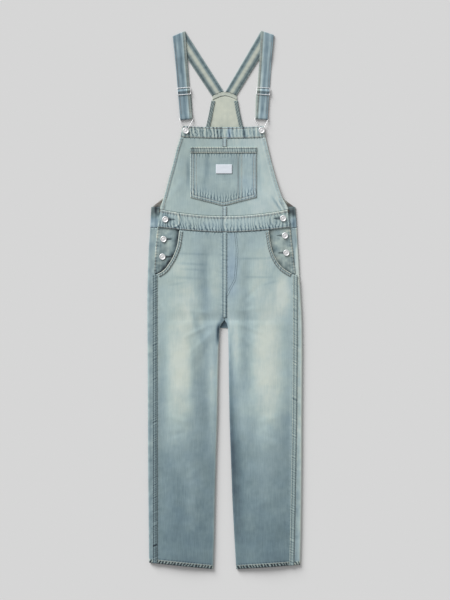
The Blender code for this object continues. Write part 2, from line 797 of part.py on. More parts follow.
def back_row(ends, y):
    """One row of the back, from the end of the left side over the floor to the end of the right one."""
    left = [(-u, z) for u, z in reversed(ends["left"])]
    right = ends["right"]
    middle = [(x, FLOOR) for x in np.linspace(left[-1][0], right[0][0], 9)[1:-1]]
    near_top = ease((y - 520) / (BACK_BIB_ROWS[-1] - 520))
    top = YOKE_TOP_Y - YOKE_BAND - SEAM - BACK_BIB_ROWS[-1]
    return [(x, y + near_top * (top + yoke_arch(x) - YOKE_TOP_Y), z) for x, z in left + middle + right]


def make_back_hem(side):
    """The turned edge of the back, which shows its blue face beside the cream inside."""
    rows = []
    for y in (300, 314, 328, 356, 385, 413, 442, 469, 496, 520, 545, 566):
        edge = curve(BACK_EDGE, side, y)
        slope = (curve(BACK_EDGE, side, y + 1) - curve(BACK_EDGE, side, y - 1)) / 2
        length = math.hypot(1, slope)
        into_u = -1 / length
        into_y = slope / length
        us = [(edge + into_u * step, y + into_y * step) for step in (0.3, BACK_HEM / 2, BACK_HEM)]
        rows.append([(u, at_y, FLOOR + LAYER) for u, at_y in us])
    cloth(f"back_hem_{side}", placed(side, rows), DEEP_LOOK)


def make_yoke_band():
    rows = []
    for step in (YOKE_BAND, YOKE_BAND / 2, 0.0):
        xs = np.linspace(YOKE_HALF, -YOKE_HALF, 13)
        rows.append([(x, yoke_arch(x) - step, BAND_WALL / 2) for x in xs])
    cloth("yoke_band", rows, CREAM_LOOK, BAND_WALL / 2, BAND_WALL / 2)


# The strap's front run: over its folded end, through the slider, along the floor, over the back run.
STRAP_Z = table(
    "y z",
    (526, 4.2),
    (536, 3.3),
    (560, 3.3),
    (582, 3.3),
    (586.5, 3.3),
    (588.5, 3.75),
    (590.5, 4.5),
    (592.4, 5.8),
    (593.3, 6.65),
    (594.5, 7.0),
    (595.7, 6.65),
    (596.6, 5.8),
    (598.5, 3.6),
    (600.5, 1.8),
    (602.5, 1.0),
    (608, 1.0),
    (630, 1.0),
    (650, 1.0),
    (668, 1.7),
    (692, 3.7),
    (716, 3.7),
    (740, 3.7),
)
# The tail that comes back up under the front run, and how far it has slipped inwards.
STRAP_TAIL = table(
    "y z shift",
    (528, 1.0, 0.6),
    (545, 1.0, 1.6),
    (565, 1.0, 2.4),
    (582, 1.0, 2.4),
    (589, 1.5, 2.0),
    (594.5, 2.0, 1.6),
)
STRAP_SHARES = (0.0, 0.33, 0.67, 1.0)


def strap_edges(side, y):
    """Outer and inner edge of the strap's front run at the height y of its middle.

    They lie square across the run, and skew to the fold line over the last stretch below it.
    """
    fold_a, fold_b = (np.array(point) for point in STRAP[side]["fold"])
    fold = (fold_a + fold_b) / 2
    end = np.array(STRAP[side]["end"])
    middle = end + (fold - end) * (y - end[1]) / (fold[1] - end[1])
    run = (fold - end) / np.linalg.norm(fold - end)
    square = np.array((run[1], -run[0])) * SIGN[side] * STRAP_HALF
    skew = ease((y - fold[1] + FOLD_SKEW) / FOLD_SKEW)
    outward = square + ((fold_a - fold_b) / 2 - square) * skew
    return middle + outward, middle - outward


def make_strap(side):
    """One ribbon: yoke, shoulder fold, down through the slider, round the buckle's bar and back up."""
    rows = []
    fold_a, fold_b = (np.array(point) for point in STRAP[side]["fold"])
    outer, inner = YOKE_STRAP[side]
    start = []
    for share in STRAP_SHARES:
        x = SIGN[side] * (outer + (inner - outer) * share)
        start.append(np.array((x, yoke_arch(x) + 2 * SEAM)))
    low = STRAP_WALL / 2
    ends = [fold_a + (fold_b - fold_a) * share for share in STRAP_SHARES]
    for t in (0, 0.05, 0.2, 0.4, 0.6, 0.8, 0.93):
        rows.append([(*(a + (b - a) * t), low) for a, b in zip(start, ends)])
    along = (fold_b - fold_a) / np.linalg.norm(fold_b - fold_a)
    away = np.array((-along[1], along[0]))
    if away[1] < 0:
        away = -away
    for degrees in (0, 45, 90, 135, 180):
        angle = math.radians(degrees)
        shift = away * FOLD_RADIUS * math.sin(angle)
        z = low + FOLD_RADIUS * (1 - math.cos(angle))
        rows.append([(*(point + shift), z) for point in ends])
    for y, z in zip(STRAP_Z["y"][::-1], STRAP_Z["z"][::-1]):
        a, b = strap_edges(side, y)
        rows.append([(*(a + (b - a) * share), z) for share in STRAP_SHARES])
    bar_y = buckle_bar_y(side)
    for degrees in (90, 45, 0, -45, -90):
        angle = math.radians(degrees)
        y = bar_y - LOOP_RADIUS * math.cos(angle)
        a, b = strap_edges(side, y)
        z = LOOP_RADIUS + low + LOOP_RADIUS * math.sin(angle)
        rows.append([(*(a + (b - a) * share), z) for share in STRAP_SHARES])
    for y, z, shift in zip(*STRAP_TAIL.values()):
        a, b = strap_edges(side, y)
        sideways = np.array((-SIGN[side] * shift, 0))
        rows.append([(*(a + (b - a) * share + sideways), z) for share in STRAP_SHARES])
    cloth(f"strap_{side}", rows, DENIM_LOOK, STRAP_WALL / 2, STRAP_WALL / 2)


def buckle_bar_y(side):
    return STRAP[side]["end"][1] + LOOP_RADIUS + STRAP_WALL / 2


def strap_frame(side, y):
    """Middle of the strap at y, the unit direction across it, outwards, and the direction down it."""
    a, b = strap_edges(side, y)
    middle = (a + b) / 2
    across = (a - b) / np.linalg.norm(a - b)
    down = np.array((across[1], -across[0])) * SIGN[side]
    if down[1] > 0:
        down = -down
    return middle, across, down, np.linalg.norm(a - b) / 2


def make_slider(side):
    """A ring of round wire with a middle bar: the strap goes under, over and under its three bars."""
    middle_y = (SLIDER_TOP_Y + SLIDER_LOW_Y) / 2
    middle, across, down, half = strap_frame(side, middle_y)
    half_width = half + CLEAR + 0.2 + WIRE
    half_height = (SLIDER_TOP_Y - SLIDER_LOW_Y) / 2
    z_top = STRAP_WALL + CLEAR + WIRE
    z_low = SLIDER_STRAP_Z + STRAP_WALL / 2 + CLEAR + WIRE
    corner = SLIDER_CORNER
    path = []
    for turn_x, turn_y, start in ((1, -1, 90), (1, 1, 0), (-1, 1, -90), (-1, -1, 180)):
        for k in range(4):
            angle = math.radians(start - 30 * k)
            side_way = turn_x * (half_width - corner) + corner * math.cos(angle)
            down_way = turn_y * (half_height - corner) - corner * math.sin(angle)
            t = (down_way + half_height) / (2 * half_height)
            place = middle + across * side_way + down * down_way
            path.append((*place, z_top + (z_low - z_top) * t))
    ring = tube(f"slider_{side}", path, WIRE, METAL_LOOK)
    ends = [(*(middle + across * reach), (z_top + z_low) / 2) for reach in (-half_width, half_width)]
    bar = tube(f"slider_bar_{side}", ends, WIRE * 0.9, METAL_LOOK, closed=False)
    bar.hide_render = True
    bar.display_type = "WIRE"
    joined = ring.modifiers.new("middle bar", "BOOLEAN")
    joined.operation = "UNION"
    joined.solver = "EXACT"
    joined.object = bar


def make_buckle(side):
    """A bent wire: a bar in the strap's loop, sides that draw together, an eye round the button's neck."""
    bar_y = buckle_bar_y(side)
    middle, across, down, half = strap_frame(side, bar_y)
    button = np.array(BIB_BUTTON[side])
    bar_half = half + CLEAR + 0.8 + BUCKLE_WIRE
    eye = NECK_RADIUS + CLEAR + BUCKLE_WIRE
    low = STRAP_WALL / 2 + LOOP_RADIUS
    high = button_base(*button) + CLEAR + BUCKLE_WIRE
    to_button = button - middle
    run = np.linalg.norm(to_button)
    ahead = to_button / run
    beside = np.array((-ahead[1], ahead[0]))
    if np.dot(beside, across) < 0:
        beside = -beside
    right = [
        (bar_half - 1.9, 0.0, low),
        (bar_half - 0.5, 0.6, low),
        (bar_half, 2.2, low + 0.2),
        (bar_half - 0.9, 6.0, low + 1.2),
        (bar_half * 0.62, run * 0.5, high),
        (eye + 0.5, run * 0.86, high),
        (eye, run, high),
    ]
    path = [(0.0, 0.0, low)] + right
    for degrees in (-30, -60, -90, -120, -150):
        angle = math.radians(degrees)
        path.append((eye * math.cos(angle), run - eye * math.sin(angle), high))
    path += [(-a, b, z) for a, b, z in reversed(right)]
    points = []
    for side_way, ahead_way, z in path:
        blend = ease(ahead_way / BUCKLE_BEND)
        sideways = across * (1 - blend) + beside * blend
        onward = down * (1 - blend) + ahead * blend
        place = middle + sideways * side_way + onward * ahead_way
        points.append((*place, z))
    tube(f"buckle_{side}", points, BUCKLE_WIRE, METAL_LOOK)


def button_base(x, y):
    """Top of the bib's band under a button."""
    return bib_height(x, min(y, BAND_HIGH_Y)) + BAND_WALL - WALL / 2


def make_button(name, x, y, base, neck):
    """A tack button: a neck, and a cap with a rounded rim and a dished face."""
    profile = [
        (0, 0),
        (NECK_RADIUS, 0),
        (NECK_RADIUS, neck),
        (BUTTON_RADIUS - 0.8, neck),
        (BUTTON_RADIUS, neck + BUTTON_WALL * 0.4),
        (BUTTON_RADIUS - 0.9, neck + BUTTON_WALL),
        (BUTTON_RADIUS - 2.6, neck + BUTTON_WALL - 0.5),
        (0, neck + BUTTON_WALL - 0.1),
    ]
    turned(name, x, y, base + CLEAR + 0.1, profile, METAL_LOOK)


def make_buttons():
    for side in SIGN:
        x, y = BIB_BUTTON[side]
        make_button(f"bib_button_{side}", x, y, button_base(x, y), 2 * BUCKLE_WIRE + CLEAR)
    on_tab = BAND_WALL - WALL / 2
    on_facing = WALL / 2 - LAYER
    rise = {1: on_tab, 2: on_facing, 3: on_facing}
    for side in SIGN:
        number = 0
        for sign, x, y in zip(BUTTONS["side"], BUTTONS["x"], BUTTONS["y"]):
            if sign != SIGN[side]:
                continue
            number += 1
            base = front_height(side, abs(x), y) + rise[number]
            make_button(f"side_button_{side}_{number}", x, y, base, SIDE_NECK)


def main():
    for obj in list(bpy.data.objects):
        bpy.data.objects.remove(obj, do_unlink=True)
    for side in SIGN:
        make_back_leg(side)
        make_front_leg(side)
        make_outseam(side)
        make_facing(side)
        make_pocket_rim(side)
        make_bib(side)
        make_back_hem(side)
        make_strap(side)
        make_slider(side)
        make_buckle(side)
    make_centre_seam()
    make_waistband()
    make_bib_seams()
    make_bib_band()
    make_bib_pocket()
    make_back_bib()
    make_yoke_band()
    make_buttons()


main()
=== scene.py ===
"""Dresses the CAD model of bib overalls, laid flat on a floor, in washed denim.

X runs across the garment, +Y from the leg hems to the shoulder folds, Z up. Sizes are in
millimetres until a mesh is made, and u is a distance out from the middle line, so that
x = SIGN[side] * u.
"""

import math

import bpy
import numpy as np
from bpy.props import FloatProperty, FloatVectorProperty, PointerProperty
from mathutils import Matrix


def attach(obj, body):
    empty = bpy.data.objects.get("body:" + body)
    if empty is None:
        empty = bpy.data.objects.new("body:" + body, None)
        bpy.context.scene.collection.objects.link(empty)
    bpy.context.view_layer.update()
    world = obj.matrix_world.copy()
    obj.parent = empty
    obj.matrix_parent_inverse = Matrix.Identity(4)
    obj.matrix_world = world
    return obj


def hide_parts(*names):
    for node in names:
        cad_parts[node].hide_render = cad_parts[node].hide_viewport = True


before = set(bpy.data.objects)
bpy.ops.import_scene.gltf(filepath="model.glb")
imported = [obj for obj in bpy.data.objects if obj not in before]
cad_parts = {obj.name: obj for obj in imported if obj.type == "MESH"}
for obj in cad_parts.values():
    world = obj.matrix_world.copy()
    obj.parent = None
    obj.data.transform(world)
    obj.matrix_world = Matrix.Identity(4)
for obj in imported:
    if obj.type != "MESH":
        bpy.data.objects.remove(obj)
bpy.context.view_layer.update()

bl_info = {
    "name": "Bib overalls laid flat",
    "version": (1, 0, 0),
    "blender": (4, 5, 0),
    "location": "3D View > Sidebar > Overalls",
    "description": "Dresses the CAD model of a pair of bib overalls in washed denim",
    "category": "Object",
}

MM = 0.001
SIGN = {"left": -1, "right": 1}

# Cloth
WALL = 1.2  # one layer of denim
BAND_WALL = 2.4  # a folded band, such as the waistband
BAND_RAISE = (BAND_WALL - WALL) / 2  # a band's middle lies this much over one layer's
STRAP_WALL = 2.0
SEAM = 0.3  # gap between two pieces that are sewn together
LAP_GAP = 0.35  # gap between a piece and what lies on it
LAYER = WALL + LAP_GAP  # rise from the middle of one layer to the middle of the next
FLOOR = WALL / 2  # middle of a layer that lies on the floor

# Legs
HEM_Y = -765.5
HEM_DEPTH = 11.0
FINE_ROWS_Y = -750.0  # below this the rows of the fronts lie closer together
HEM_ROPE = 8.6  # pitch of the twist that washing leaves in a hem
HEM_EXTRA = 1.3  # what the turned hem adds to the inside of the wall
HEM_RISE = {"left": 18.5, "right": 12.5}  # the outer corner of a hem lies higher up the leg
HEM_RISE_REACH = 200.0
ROLL = 3.6  # radius of the cloth's turn along the sides of a leg
EDGE = FLOOR + 2 * ROLL  # middle of the front layer where it leaves that turn
FELL_HALF = 6.4  # half the width of a flat-felled seam
SEAM_LOW_Y = -50.0  # lower end of the centre seam
CORNER_LOW_Y = -79.5  # lowest point of the back's corner that shows between the legs
DOME_POWER = 1.5
FLAT_STEP = 5.0  # width of the level strip beside the centre seam
WAIST_LEAN_Y = 130.0  # above this, the rows of the fronts bend towards the waist line

# Waist and sides
BACK_TOP_Y = 205.0
WAIST_LOW = {"middle": 192.5, "rise": 14.5, "reach": 190.0, "power": 1.8}
WAIST_HIGH = {"middle": 238.0, "rise": 19.0, "reach": 182.0, "power": 2.0}
WAISTBAND_DEPTH = 44.0  # its height as its shades count it, from nought at its lower edge
WAISTBAND_END = {"left": 127.0, "right": 129.5}
TAB_LOW = {"left": 190.0, "right": 187.0}
TAB_HIGH = {"left": 182.5, "right": 179.0}
OPENING_Y = 74.0  # lowest point of the buttoned side opening
SINK_START_Y = 50.0
OPENING_SINK = 2 * LAYER + 0.15  # the back's button stand lies two layers under the front
STAND_EDGE = {"left": 184.0, "right": 179.5}  # edge of the button stand
POCKET_LAP = 15.0  # how far the side facing runs on under the front
RIM_WIDTH = 10.0  # the stitched edge of a pocket opening
RIM_TOP_Y = 195.5
RIM_END = 190.5  # how far out the rim runs

# Bib
BIB_LEVEL = 3.75  # middle of the bib where it lies on the back
BIB_FOOT_Y = 245.0
BIB_LEVEL_Y = 390.0
BIB_HEM = 8.0
BIB_HEM_EXTRA = 0.9
BAND_LOW_Y = 459.5
BAND_HIGH_Y = 491.5
BAND_RISE = 3.5
BAND_REACH = 120.0
MIDDLE_X = -0.4  # the centre seam of bib and front
BIB_POCKET = {
    "left": -98.0,
    "right": 91.0,
    "top": 435.3,
    "corner": 291.5,
    "point": 267.0,
    "point_x": -4.0,
}
POCKET_HEM_DEPTH = 17.5
POCKET_HEM_Y = BIB_POCKET["top"] - POCKET_HEM_DEPTH
LABEL = {"left": -25.0, "right": 21.0, "top": 385.5, "bottom": 359.5}
LABEL_WALL = 1.0

# Back yoke
BACK_CORNER_Y = 265.0  # where the turned sides end and the back narrows
BACK_LAST_Y = 568.0  # last row of the back before it bends to the yoke's line
YOKE_TOP_Y = 593.0
YOKE_HALF = 35.0
YOKE_DROP = 12.5
YOKE_POWER = 1.6
YOKE_BAND = 11.0
BACK_HEM = 11.0
BACK_HEM_LOW_Y = 300.0  # the back's turned edges run on from here

# Straps and metal
FOLD_RADIUS = 1.35
WIRE = 1.0  # radius of the slider's bars
BUCKLE_WIRE = 0.9
BUCKLE_BEND = 12.0  # length over which the buckle turns from the strap's line to the button
CLEAR = 0.3
STRAP_HALF = 17.2
FOLD_SKEW = 80.0  # length over which the strap's ends turn from the fold line to square
LOOP_RADIUS = BUCKLE_WIRE + CLEAR + 0.2 + STRAP_WALL / 2
SLIDER_CORNER = 2.2
SLIDER_STRAP_Z = 3.55  # middle of the front run under the slider's lower bar
SLIDER_TOP_Y = 604.3
SLIDER_LOW_Y = 584.7
BUTTON_RADIUS = 8.9
BUTTON_WALL = 2.4
NECK_RADIUS = 3.9
SIDE_NECK = 0.9
HOLE_DEPTH = 0.45  # how far a buttonhole sinks the cloth

# How many flat faces go round a wire, a button and a thread, and how long a stitch is
WIRE_SIDES = 16
LATHE_SIDES = 48
THREAD_SIDES = 5
STITCH_LENGTH = 3.0
# Each ring of a stitch: how far along it, how high and how wide in its radius
STITCH_RINGS = ((0.0, -0.8, 0.55), (0.14, 0.1, 0.95), (0.86, 0.1, 0.95), (1.0, -0.8, 0.55))
SQUARE = ((-1, -1), (1, -1), (1, 1), (-1, 1))

# Tone of the strip outside the outseam, and what it loses on the lower leg, loses near the
# waist and gains over the hip
OUTER_TONE = {"left": 0.6, "right": 0.93}
OUTER_FADE = {"left": (0.08, 0.1, 0.06), "right": (0.24, 0.46, 0.1)}


def table(columns, *rows):
    """A short table as one array for each named column."""
    return dict(zip(columns.split(), np.array(rows, float).T))


OUTLINE = table(
    "y left right",
    (-766, 215.0, 215.0),
    (-684, 216.0, 217.0),
    (-570, 217.0, 218.5),
    (-456, 218.0, 219.5),
    (-342, 218.3, 220.0),
    (-228, 219.0, 220.8),
    (-114, 219.6, 221.0),
    (-57, 220.0, 220.0),
    (28, 219.8, 215.5),
    (68, 219.0, 213.0),
    (108, 218.0, 211.0),
    (148, 216.0, 208.5),
    (188, 213.0, 206.0),
    (228, 211.0, 204.0),
    (265, 209.0, 201.0),
)
INSIDE = table(
    "y left right",
    (-766, 33.0, 33.0),
    (-684, 30.0, 28.0),
    (-570, 28.0, 22.0),
    (-456, 25.0, 18.0),
    (-342, 21.0, 14.0),
    (-228, 19.0, 12.0),
    (-128, 17.0, 11.0),
    (-90, 15.5, 10.0),
    (-77, 13.5, 8.5),
    (-68, 9.5, 6.0),
    (-62, 4.5, 2.7),
    (-58, 0.55, -0.25),
    (600, 0.55, -0.25),
)
OUTSEAM = table(
    "y left right",
    (-766, 198.0, 190.5),
    (-570, 198.0, 194.5),
    (-342, 198.3, 198.5),
    (-114, 198.5, 200.5),
    (80, 198.5, 200.5),
)
POCKET_EDGE = table(
    "y left right",
    (72, 196.0, 196.0),
    (80, 180.0, 181.5),
    (88, 170.0, 169.0),
    (100, 161.0, 156.5),
    (117, 150.0, 145.0),
    (137, 141.0, 136.5),
    (154, 135.0, 132.0),
    (177, 131.0, 128.0),
    (200, 128.5, 125.0),
)
FACING_EDGE = table(
    "y left right",
    (62, 188.0, 188.0),
    (74, 197.4, 199.2),
    (78, 201.5, 200.8),
    (108, 200.0, 198.0),
    (142, 198.0, 194.0),
    (178, 194.7, 190.0),
    (206, 191.6, 187.5),
    (246, 183.8, 181.0),
)
BIB_EDGE = table(
    "y left right",
    (238, 184.5, 181.5),
    (265, 179.0, 173.0),
    (299, 171.0, 160.5),
    (342, 160.0, 147.0),
    (385, 148.0, 135.0),
    (428, 137.0, 124.0),
    (462, 126.0, 116.0),
    (496, 120.0, 111.0),
)
BACK_EDGE = table(
    "y left right",
    (265, 206.4, 198.4),
    (285, 182.0, 172.0),
    (328, 139.0, 132.0),
    (385, 99.0, 95.0),
    (442, 70.0, 69.0),
    (496, 53.0, 52.0),
    (542, 43.0, 42.0),
    (580, 35.5, 35.5),
)
# Height of the front layer at the middle line or at the top of the inner turn, and of its dome
LIFT = table(
    "y seam dome",
    (-766, 4.35, 4.0),
    (-600, 4.35, 4.8),
    (-300, 4.35, 5.8),
    (-120, 4.35, 5.8),
    (-72, 4.35, 5.6),
    (-58, 4.9, 5.4),
    (-50, 5.8, 5.2),
    (-40, 7.1, 5.0),
    (-28, 8.5, 4.8),
    (-10, 9.6, 4.4),
    (60, 10.2, 3.4),
    (140, 10.4, 2.6),
    (200, 9.8, 1.8),
    (260, 9.0, 1.2),
    (600, 9.0, 1.2),
)
# Rise of the back's middle line off the floor, where it meets the front at the crotch
BACK_LIFT = table(
    "y rise", (-72, 3.45), (-58, 2.9), (-50, 1.8), (-40, 0.7), (-30, 0.1), (-20, 0.0)
)
# Angle through which the cloth turns down at its inner side: none at the centre seam
TURN = table(
    "y angle", (-72, 90), (-66, 75), (-62, 60), (-58, 38), (-50, 24), (-40, 10), (-30, 0)
)
# Soft folds: from and to, half width, height (a trough where it is below nought)
FOLDS = table(
    "x0 y0 x1 y1 half height",
    (-64, 170, -56, -210, 17, -1.7),
    (-18, -62, -104, -190, 15, 1.9),
    (-24, -20, -120, -70, 14, 1.2),
    (-128, -250, -66, -430, 20, -1.4),
    (-118, -470, -126, -740, 24, -1.1),
    (58, 170, 62, -230, 17, -1.6),
    (16, -64, 92, -160, 15, 1.6),
    (22, -18, 122, -60, 14, 1.1),
    (124, -260, 74, -440, 20, -1.3),
    (112, -480, 122, -740, 24, -1.1),
)
BIB_FOLDS = table(
    "x0 y0 x1 y1 half height",
    (108, 352, 176, 262, 9, 1.3),
    (84, 322, 160, 252, 9, 1.1),
    (-104, 360, -168, 272, 10, 0.9),
    (-112, 440, -128, 300, 12, 0.7),
    (104, 440, 120, 330, 12, 0.7),
)
BUTTONS = table(
    "side x y",
    (-1, -169, 229),
    (-1, -174, 173),
    (-1, -177, 123),
    (1, 166, 232),
    (1, 171.5, 183),
    (1, 175.5, 134),
)
BIB_BUTTON = {"left": (-110.5, 481.5), "right": (105.0, 482.5)}
# Each strap in plan: the two ends of its shoulder fold, and the middle of its lower end
STRAP = {
    "left": {"fold": ((-147.6, 748.9), (-112.1, 763.9)), "end": (-109.2, 513.8)},
    "right": {"fold": ((139.6, 752.6), (102.7, 764.9)), "end": (104.6, 514.4)},
}
YOKE_STRAP = {"left": (35.6, 2.4), "right": (33.4, 2.4)}

# The strap's front run: over its end, through the slider, along the floor, over the back run
STRAP_Z = table(
    "y z",
    (526, 4.2),
    (536, 3.3),
    (560, 3.3),
    (582, 3.3),
    (586.5, 3.3),
    (588.5, 3.75),
    (590.5, 4.5),
    (592.4, 5.8),
    (593.3, 6.65),
    (594.5, 7.0),
    (595.7, 6.65),
    (596.6, 5.8),
    (598.5, 3.6),
    (600.5, 1.8),
    (602.5, 1.0),
    (608, 1.0),
    (630, 1.0),
    (650, 1.0),
    (668, 1.7),
    (692, 3.7),
    (716, 3.7),
    (740, 3.7),
)
# The tail that comes back up under the front run, and how far it has slipped inwards
STRAP_TAIL = table(
    "y z shift",
    (528, 1.0, 0.6),
    (545, 1.0, 1.6),
    (565, 1.0, 2.4),
    (582, 1.0, 2.4),
    (589, 1.5, 2.0),
    (594.5, 2.0, 1.6),
)

# Creases and puckers, in the same form as the soft folds of the solids
CREASES = table(
    "x0 y0 x1 y1 half height",
    (-30, -66, -128, -112, 6, 0.9),
    (-26, -84, -110, -160, 7, 0.8),
    (-20, -40, -112, -30, 6, 0.7),
    (-70, 175, -30, 60, 7, -0.6),
    (-110, 60, -46, -20, 6, -0.5),
    (26, -62, 118, -100, 6, 0.9),
    (24, -84, 104, -150, 7, 0.7),
    (20, -36, 108, -20, 6, 0.6),
    (66, 170, 30, 60, 7, -0.6),
    (108, 50, 40, -16, 6, -0.5),
    (-170, -330, -80, -352, 9, 0.8),
    (-176, -392, -96, -372, 8, -0.7),
    (-160, -560, -70, -590, 10, 0.7),
    (-60, -470, -120, -520, 9, 0.6),
    (170, -326, 84, -352, 9, 0.8),
    (176, -402, 90, -380, 8, -0.7),
    (150, -560, 64, -600, 10, 0.7),
    (60, -460, 118, -520, 9, 0.6),
)

# Wash: how pale the front is along its length, then pale or dark shapes on it, some of them painted
# shade or light
WASH = table(
    "y tone",
    (-758, 0.24),
    (-684, 0.27),
    (-604, 0.31),
    (-524, 0.34),
    (-445, 0.38),
    (-365, 0.43),
    (-285, 0.51),
    (-205, 0.58),
    (-125, 0.62),
    (-46, 0.66),
    (34, 0.7),
    (114, 0.67),
    (194, 0.62),
)
# Middle of each shape, half its width and length, and how much paler it is
OVALS = table(
    "x y wide long tone",
    (-125, -185, 40, 222, 0.42),
    (-133, -57, 28, 86, -0.12),
    (-93, 0, 23, 46, 0.1),
    (-70, -63, 11, 34, 0.16),
    (-133, 108, 40, 40, 0.11),
    (-28, 57, 20, 114, 0.09),
    (-162, -342, 23, 86, 0.1),
    (121, -215, 48, 205, 0.42),
    (166, 14, 23, 68, 0.28),
    (92, 57, 20, 68, 0.1),
    (115, 128, 34, 57, 0.13),
    (9, -57, 14, 57, 0.16),
    (18, 100, 19, 105, -0.07),
    (54, -330, 24, 80, 0.14),
)
STROKES = table(
    "x0 y0 x1 y1 half tone",
    # These two run down the left fold trough: partly the wash, partly painted shade in the trough
    (-62, 205, -53, -100, 14, -0.2),
    (-73, -108, -59, -428, 17, -0.08),
    (-93, -63, -82, -342, 11, -0.12),
    (-38, -60, -36, -470, 11, 0.26),
    (-179, 0, -179, -428, 14, -0.07),
    (-139, -442, -133, -741, 23, -0.04),
    (-96, -399, -93, -684, 14, 0.1),
    # Down the right fold trough: partly the wash, partly painted shade in the trough
    (58, 205, 62, -370, 13, -0.13),
    (27, -228, 46, -741, 15, -0.22),
    (9, -60, 30, -720, 9, -0.3),
    # Either side of the diagonal crease on the left thigh: painted shade on one slope, painted
    # light on the other
    (-104, 10, -52, -150, 10, -0.16),
    (-116, 0, -70, -140, 9, 0.07),
    (29, 0, 35, -256, 11, 0.22),
    (106, -428, 115, -627, 23, 0.08),
    (-152, 133, -34, 129, 3, -0.15),
    (-150, 106, -40, 99, 3, -0.16),
    (-140, 89, -44, 84, 3, -0.14),
    (-158, 66, -60, 60, 4, -0.13),
    (-170, 40, -100, 52, 3, -0.12),
    (24, 117, 150, 119, 3, -0.17),
    (44, 66, 150, 64, 3, -0.16),
    (96, 40, 160, 56, 3, -0.1),
    (150, 112, 128, 60, 4, -0.06),
    # Painted shadow under the crotch, and along the left leg's inner edge below it
    (0, -36, -20, -96, 7, -0.5),
    (-18, -60, -19, -134, 5, -0.9),
    (4, -44, 9, -92, 5, -0.4),
    (188, -40, 186, -720, 4, 0.12),
)
# How blue or how cream the wash is, above and below nought
TINTS = table(
    "x y wide long tone",
    (-42, -160, 22, 200, 0.5),
    (-125, -190, 45, 200, -0.45),
    (118, -200, 48, 190, -0.25),
    (16, -160, 22, 200, 0.4),
    (20, 95, 22, 100, 1.6),
    (-150, 90, 40, 120, -0.4),
    (-196, -300, 16, 420, -0.5),
    (-110, -560, 60, 160, 0.2),
    (190, 0, 20, 320, 0.3),
)
# Short pulls on the bib, from -1 in a furrow to 1 on a ridge
BIB_PULLS = table(
    "x0 y0 x1 y1 half height",
    (130, 300, 172, 238, 3, -1.0),
    (140, 298, 176, 240, 3, 0.9),
    (150, 292, 176, 244, 2.5, -1.1),
    (158, 276, 178, 240, 2.5, 0.9),
    (112, 292, 168, 240, 3, 0.5),
    (-60, 300, -20, 262, 5, 0.4),
    (-104, 420, -104, 300, 6, -0.7),
    (97, 420, 99, 300, 5, -0.4),
)
# Pulls on the bib pocket, and the line where its pen slot is sewn down
POCKET_PULLS = table(
    "x0 y0 x1 y1 half height",
    (-52, 440, -54, 300, 8, -0.35),
    (-80, 424, -82, 296, 4, 0.6),
    (38, 424, 40, 284, 4, -0.6),
    (48, 424, 50, 284, 4, 0.8),
    (60, 320, 84, 296, 4, 0.5),
    (-20, 356, 10, 300, 9, 0.4),
)
# Lengthwise lines of a strap by their place across it, from its outer edge, and how pale they are
STRAP_LINES = table(
    "at half tone",
    (0.0, 0.04, 0.1),
    (0.1, 0.05, -0.16),
    (0.28, 0.05, 0.12),
    (0.4, 0.03, -0.12),
    (0.5, 0.05, -0.16),
    (0.62, 0.04, 0.06),
    (0.72, 0.05, 0.34),
    (0.82, 0.03, -0.12),
    (0.91, 0.03, 0.08),
    (1.0, 0.03, 0.15),
)
BACK_RUN_LINES = table(
    "at half tone",
    (0.0, 0.05, 0.3),
    (0.14, 0.07, -0.14),
    (0.26, 0.04, 0.12),
    (0.5, 0.16, 0.5),
    (0.72, 0.04, 0.12),
    (0.82, 0.05, -0.1),
    (0.97, 0.05, 0.3),
)
# The fly's stitching: distance out and y
FLY = np.array([(32.2, 191), (37.9, 142.5), (36.2, 105.5), (31.4, 57), (16.5, 28.5), (8, 11)])


def ease(t):
    """Nought to one with a level start and end."""
    t = np.clip(t, 0.0, 1.0)
    return t * t * (3 - 2 * t)


def bell(distance, half):
    return np.exp(-((distance / half) ** 2))


def stripes(distance, *lines):
    """Sum of bells along a distance; each line is its place, its half width and its height."""
    return sum(height * bell(distance - at, half) for at, half, height in lines)


def curve(rows, column, y):
    """The column's value at y on a smooth curve through the table's rows."""
    ys = rows["y"]
    values = rows[column]
    y = np.clip(y, ys[0], ys[-1])
    i = np.clip(np.searchsorted(ys, y, side="right") - 1, 0, len(ys) - 2)
    slopes = np.gradient(values, ys)
    step = ys[i + 1] - ys[i]
    t = (y - ys[i]) / step
    start = (1 + 2 * t) * (1 - t) ** 2 * values[i] + t * (1 - t) ** 2 * step * slopes[i]
    return start + t * t * (3 - 2 * t) * values[i + 1] + t * t * (t - 1) * step * slopes[i + 1]


def straight(rows, column, y):
    return np.interp(y, rows["y"], rows[column])


def line_sum(rows, column, x, y):
    """Sum of a table's lines: each is a bell across its line and dies out at its ends."""
    total = np.zeros(np.broadcast(x, y).shape)
    keys = ("x0", "y0", "x1", "y1", "half", column)
    for x0, y0, x1, y1, half, size in zip(*(rows[key] for key in keys)):
        along_x = x1 - x0
        along_y = y1 - y0
        length = math.hypot(along_x, along_y)
        t = np.clip(((x - x0) * along_x + (y - y0) * along_y) / length**2, 0, 1)
        across = ((x - x0) * along_y - (y - y0) * along_x) / length
        total = total + size * bell(across, half) * np.sin(np.pi * t) ** 1.2
    return total


def oval_sum(rows, x, y):
    total = np.zeros(np.broadcast(x, y).shape)
    for at_x, at_y, wide, long, tone in zip(*rows.values()):
        away = ((x - at_x) / wide) ** 2 + ((y - at_y) / long) ** 2
        total = total + tone * np.exp(-(away**1.3))
    return total


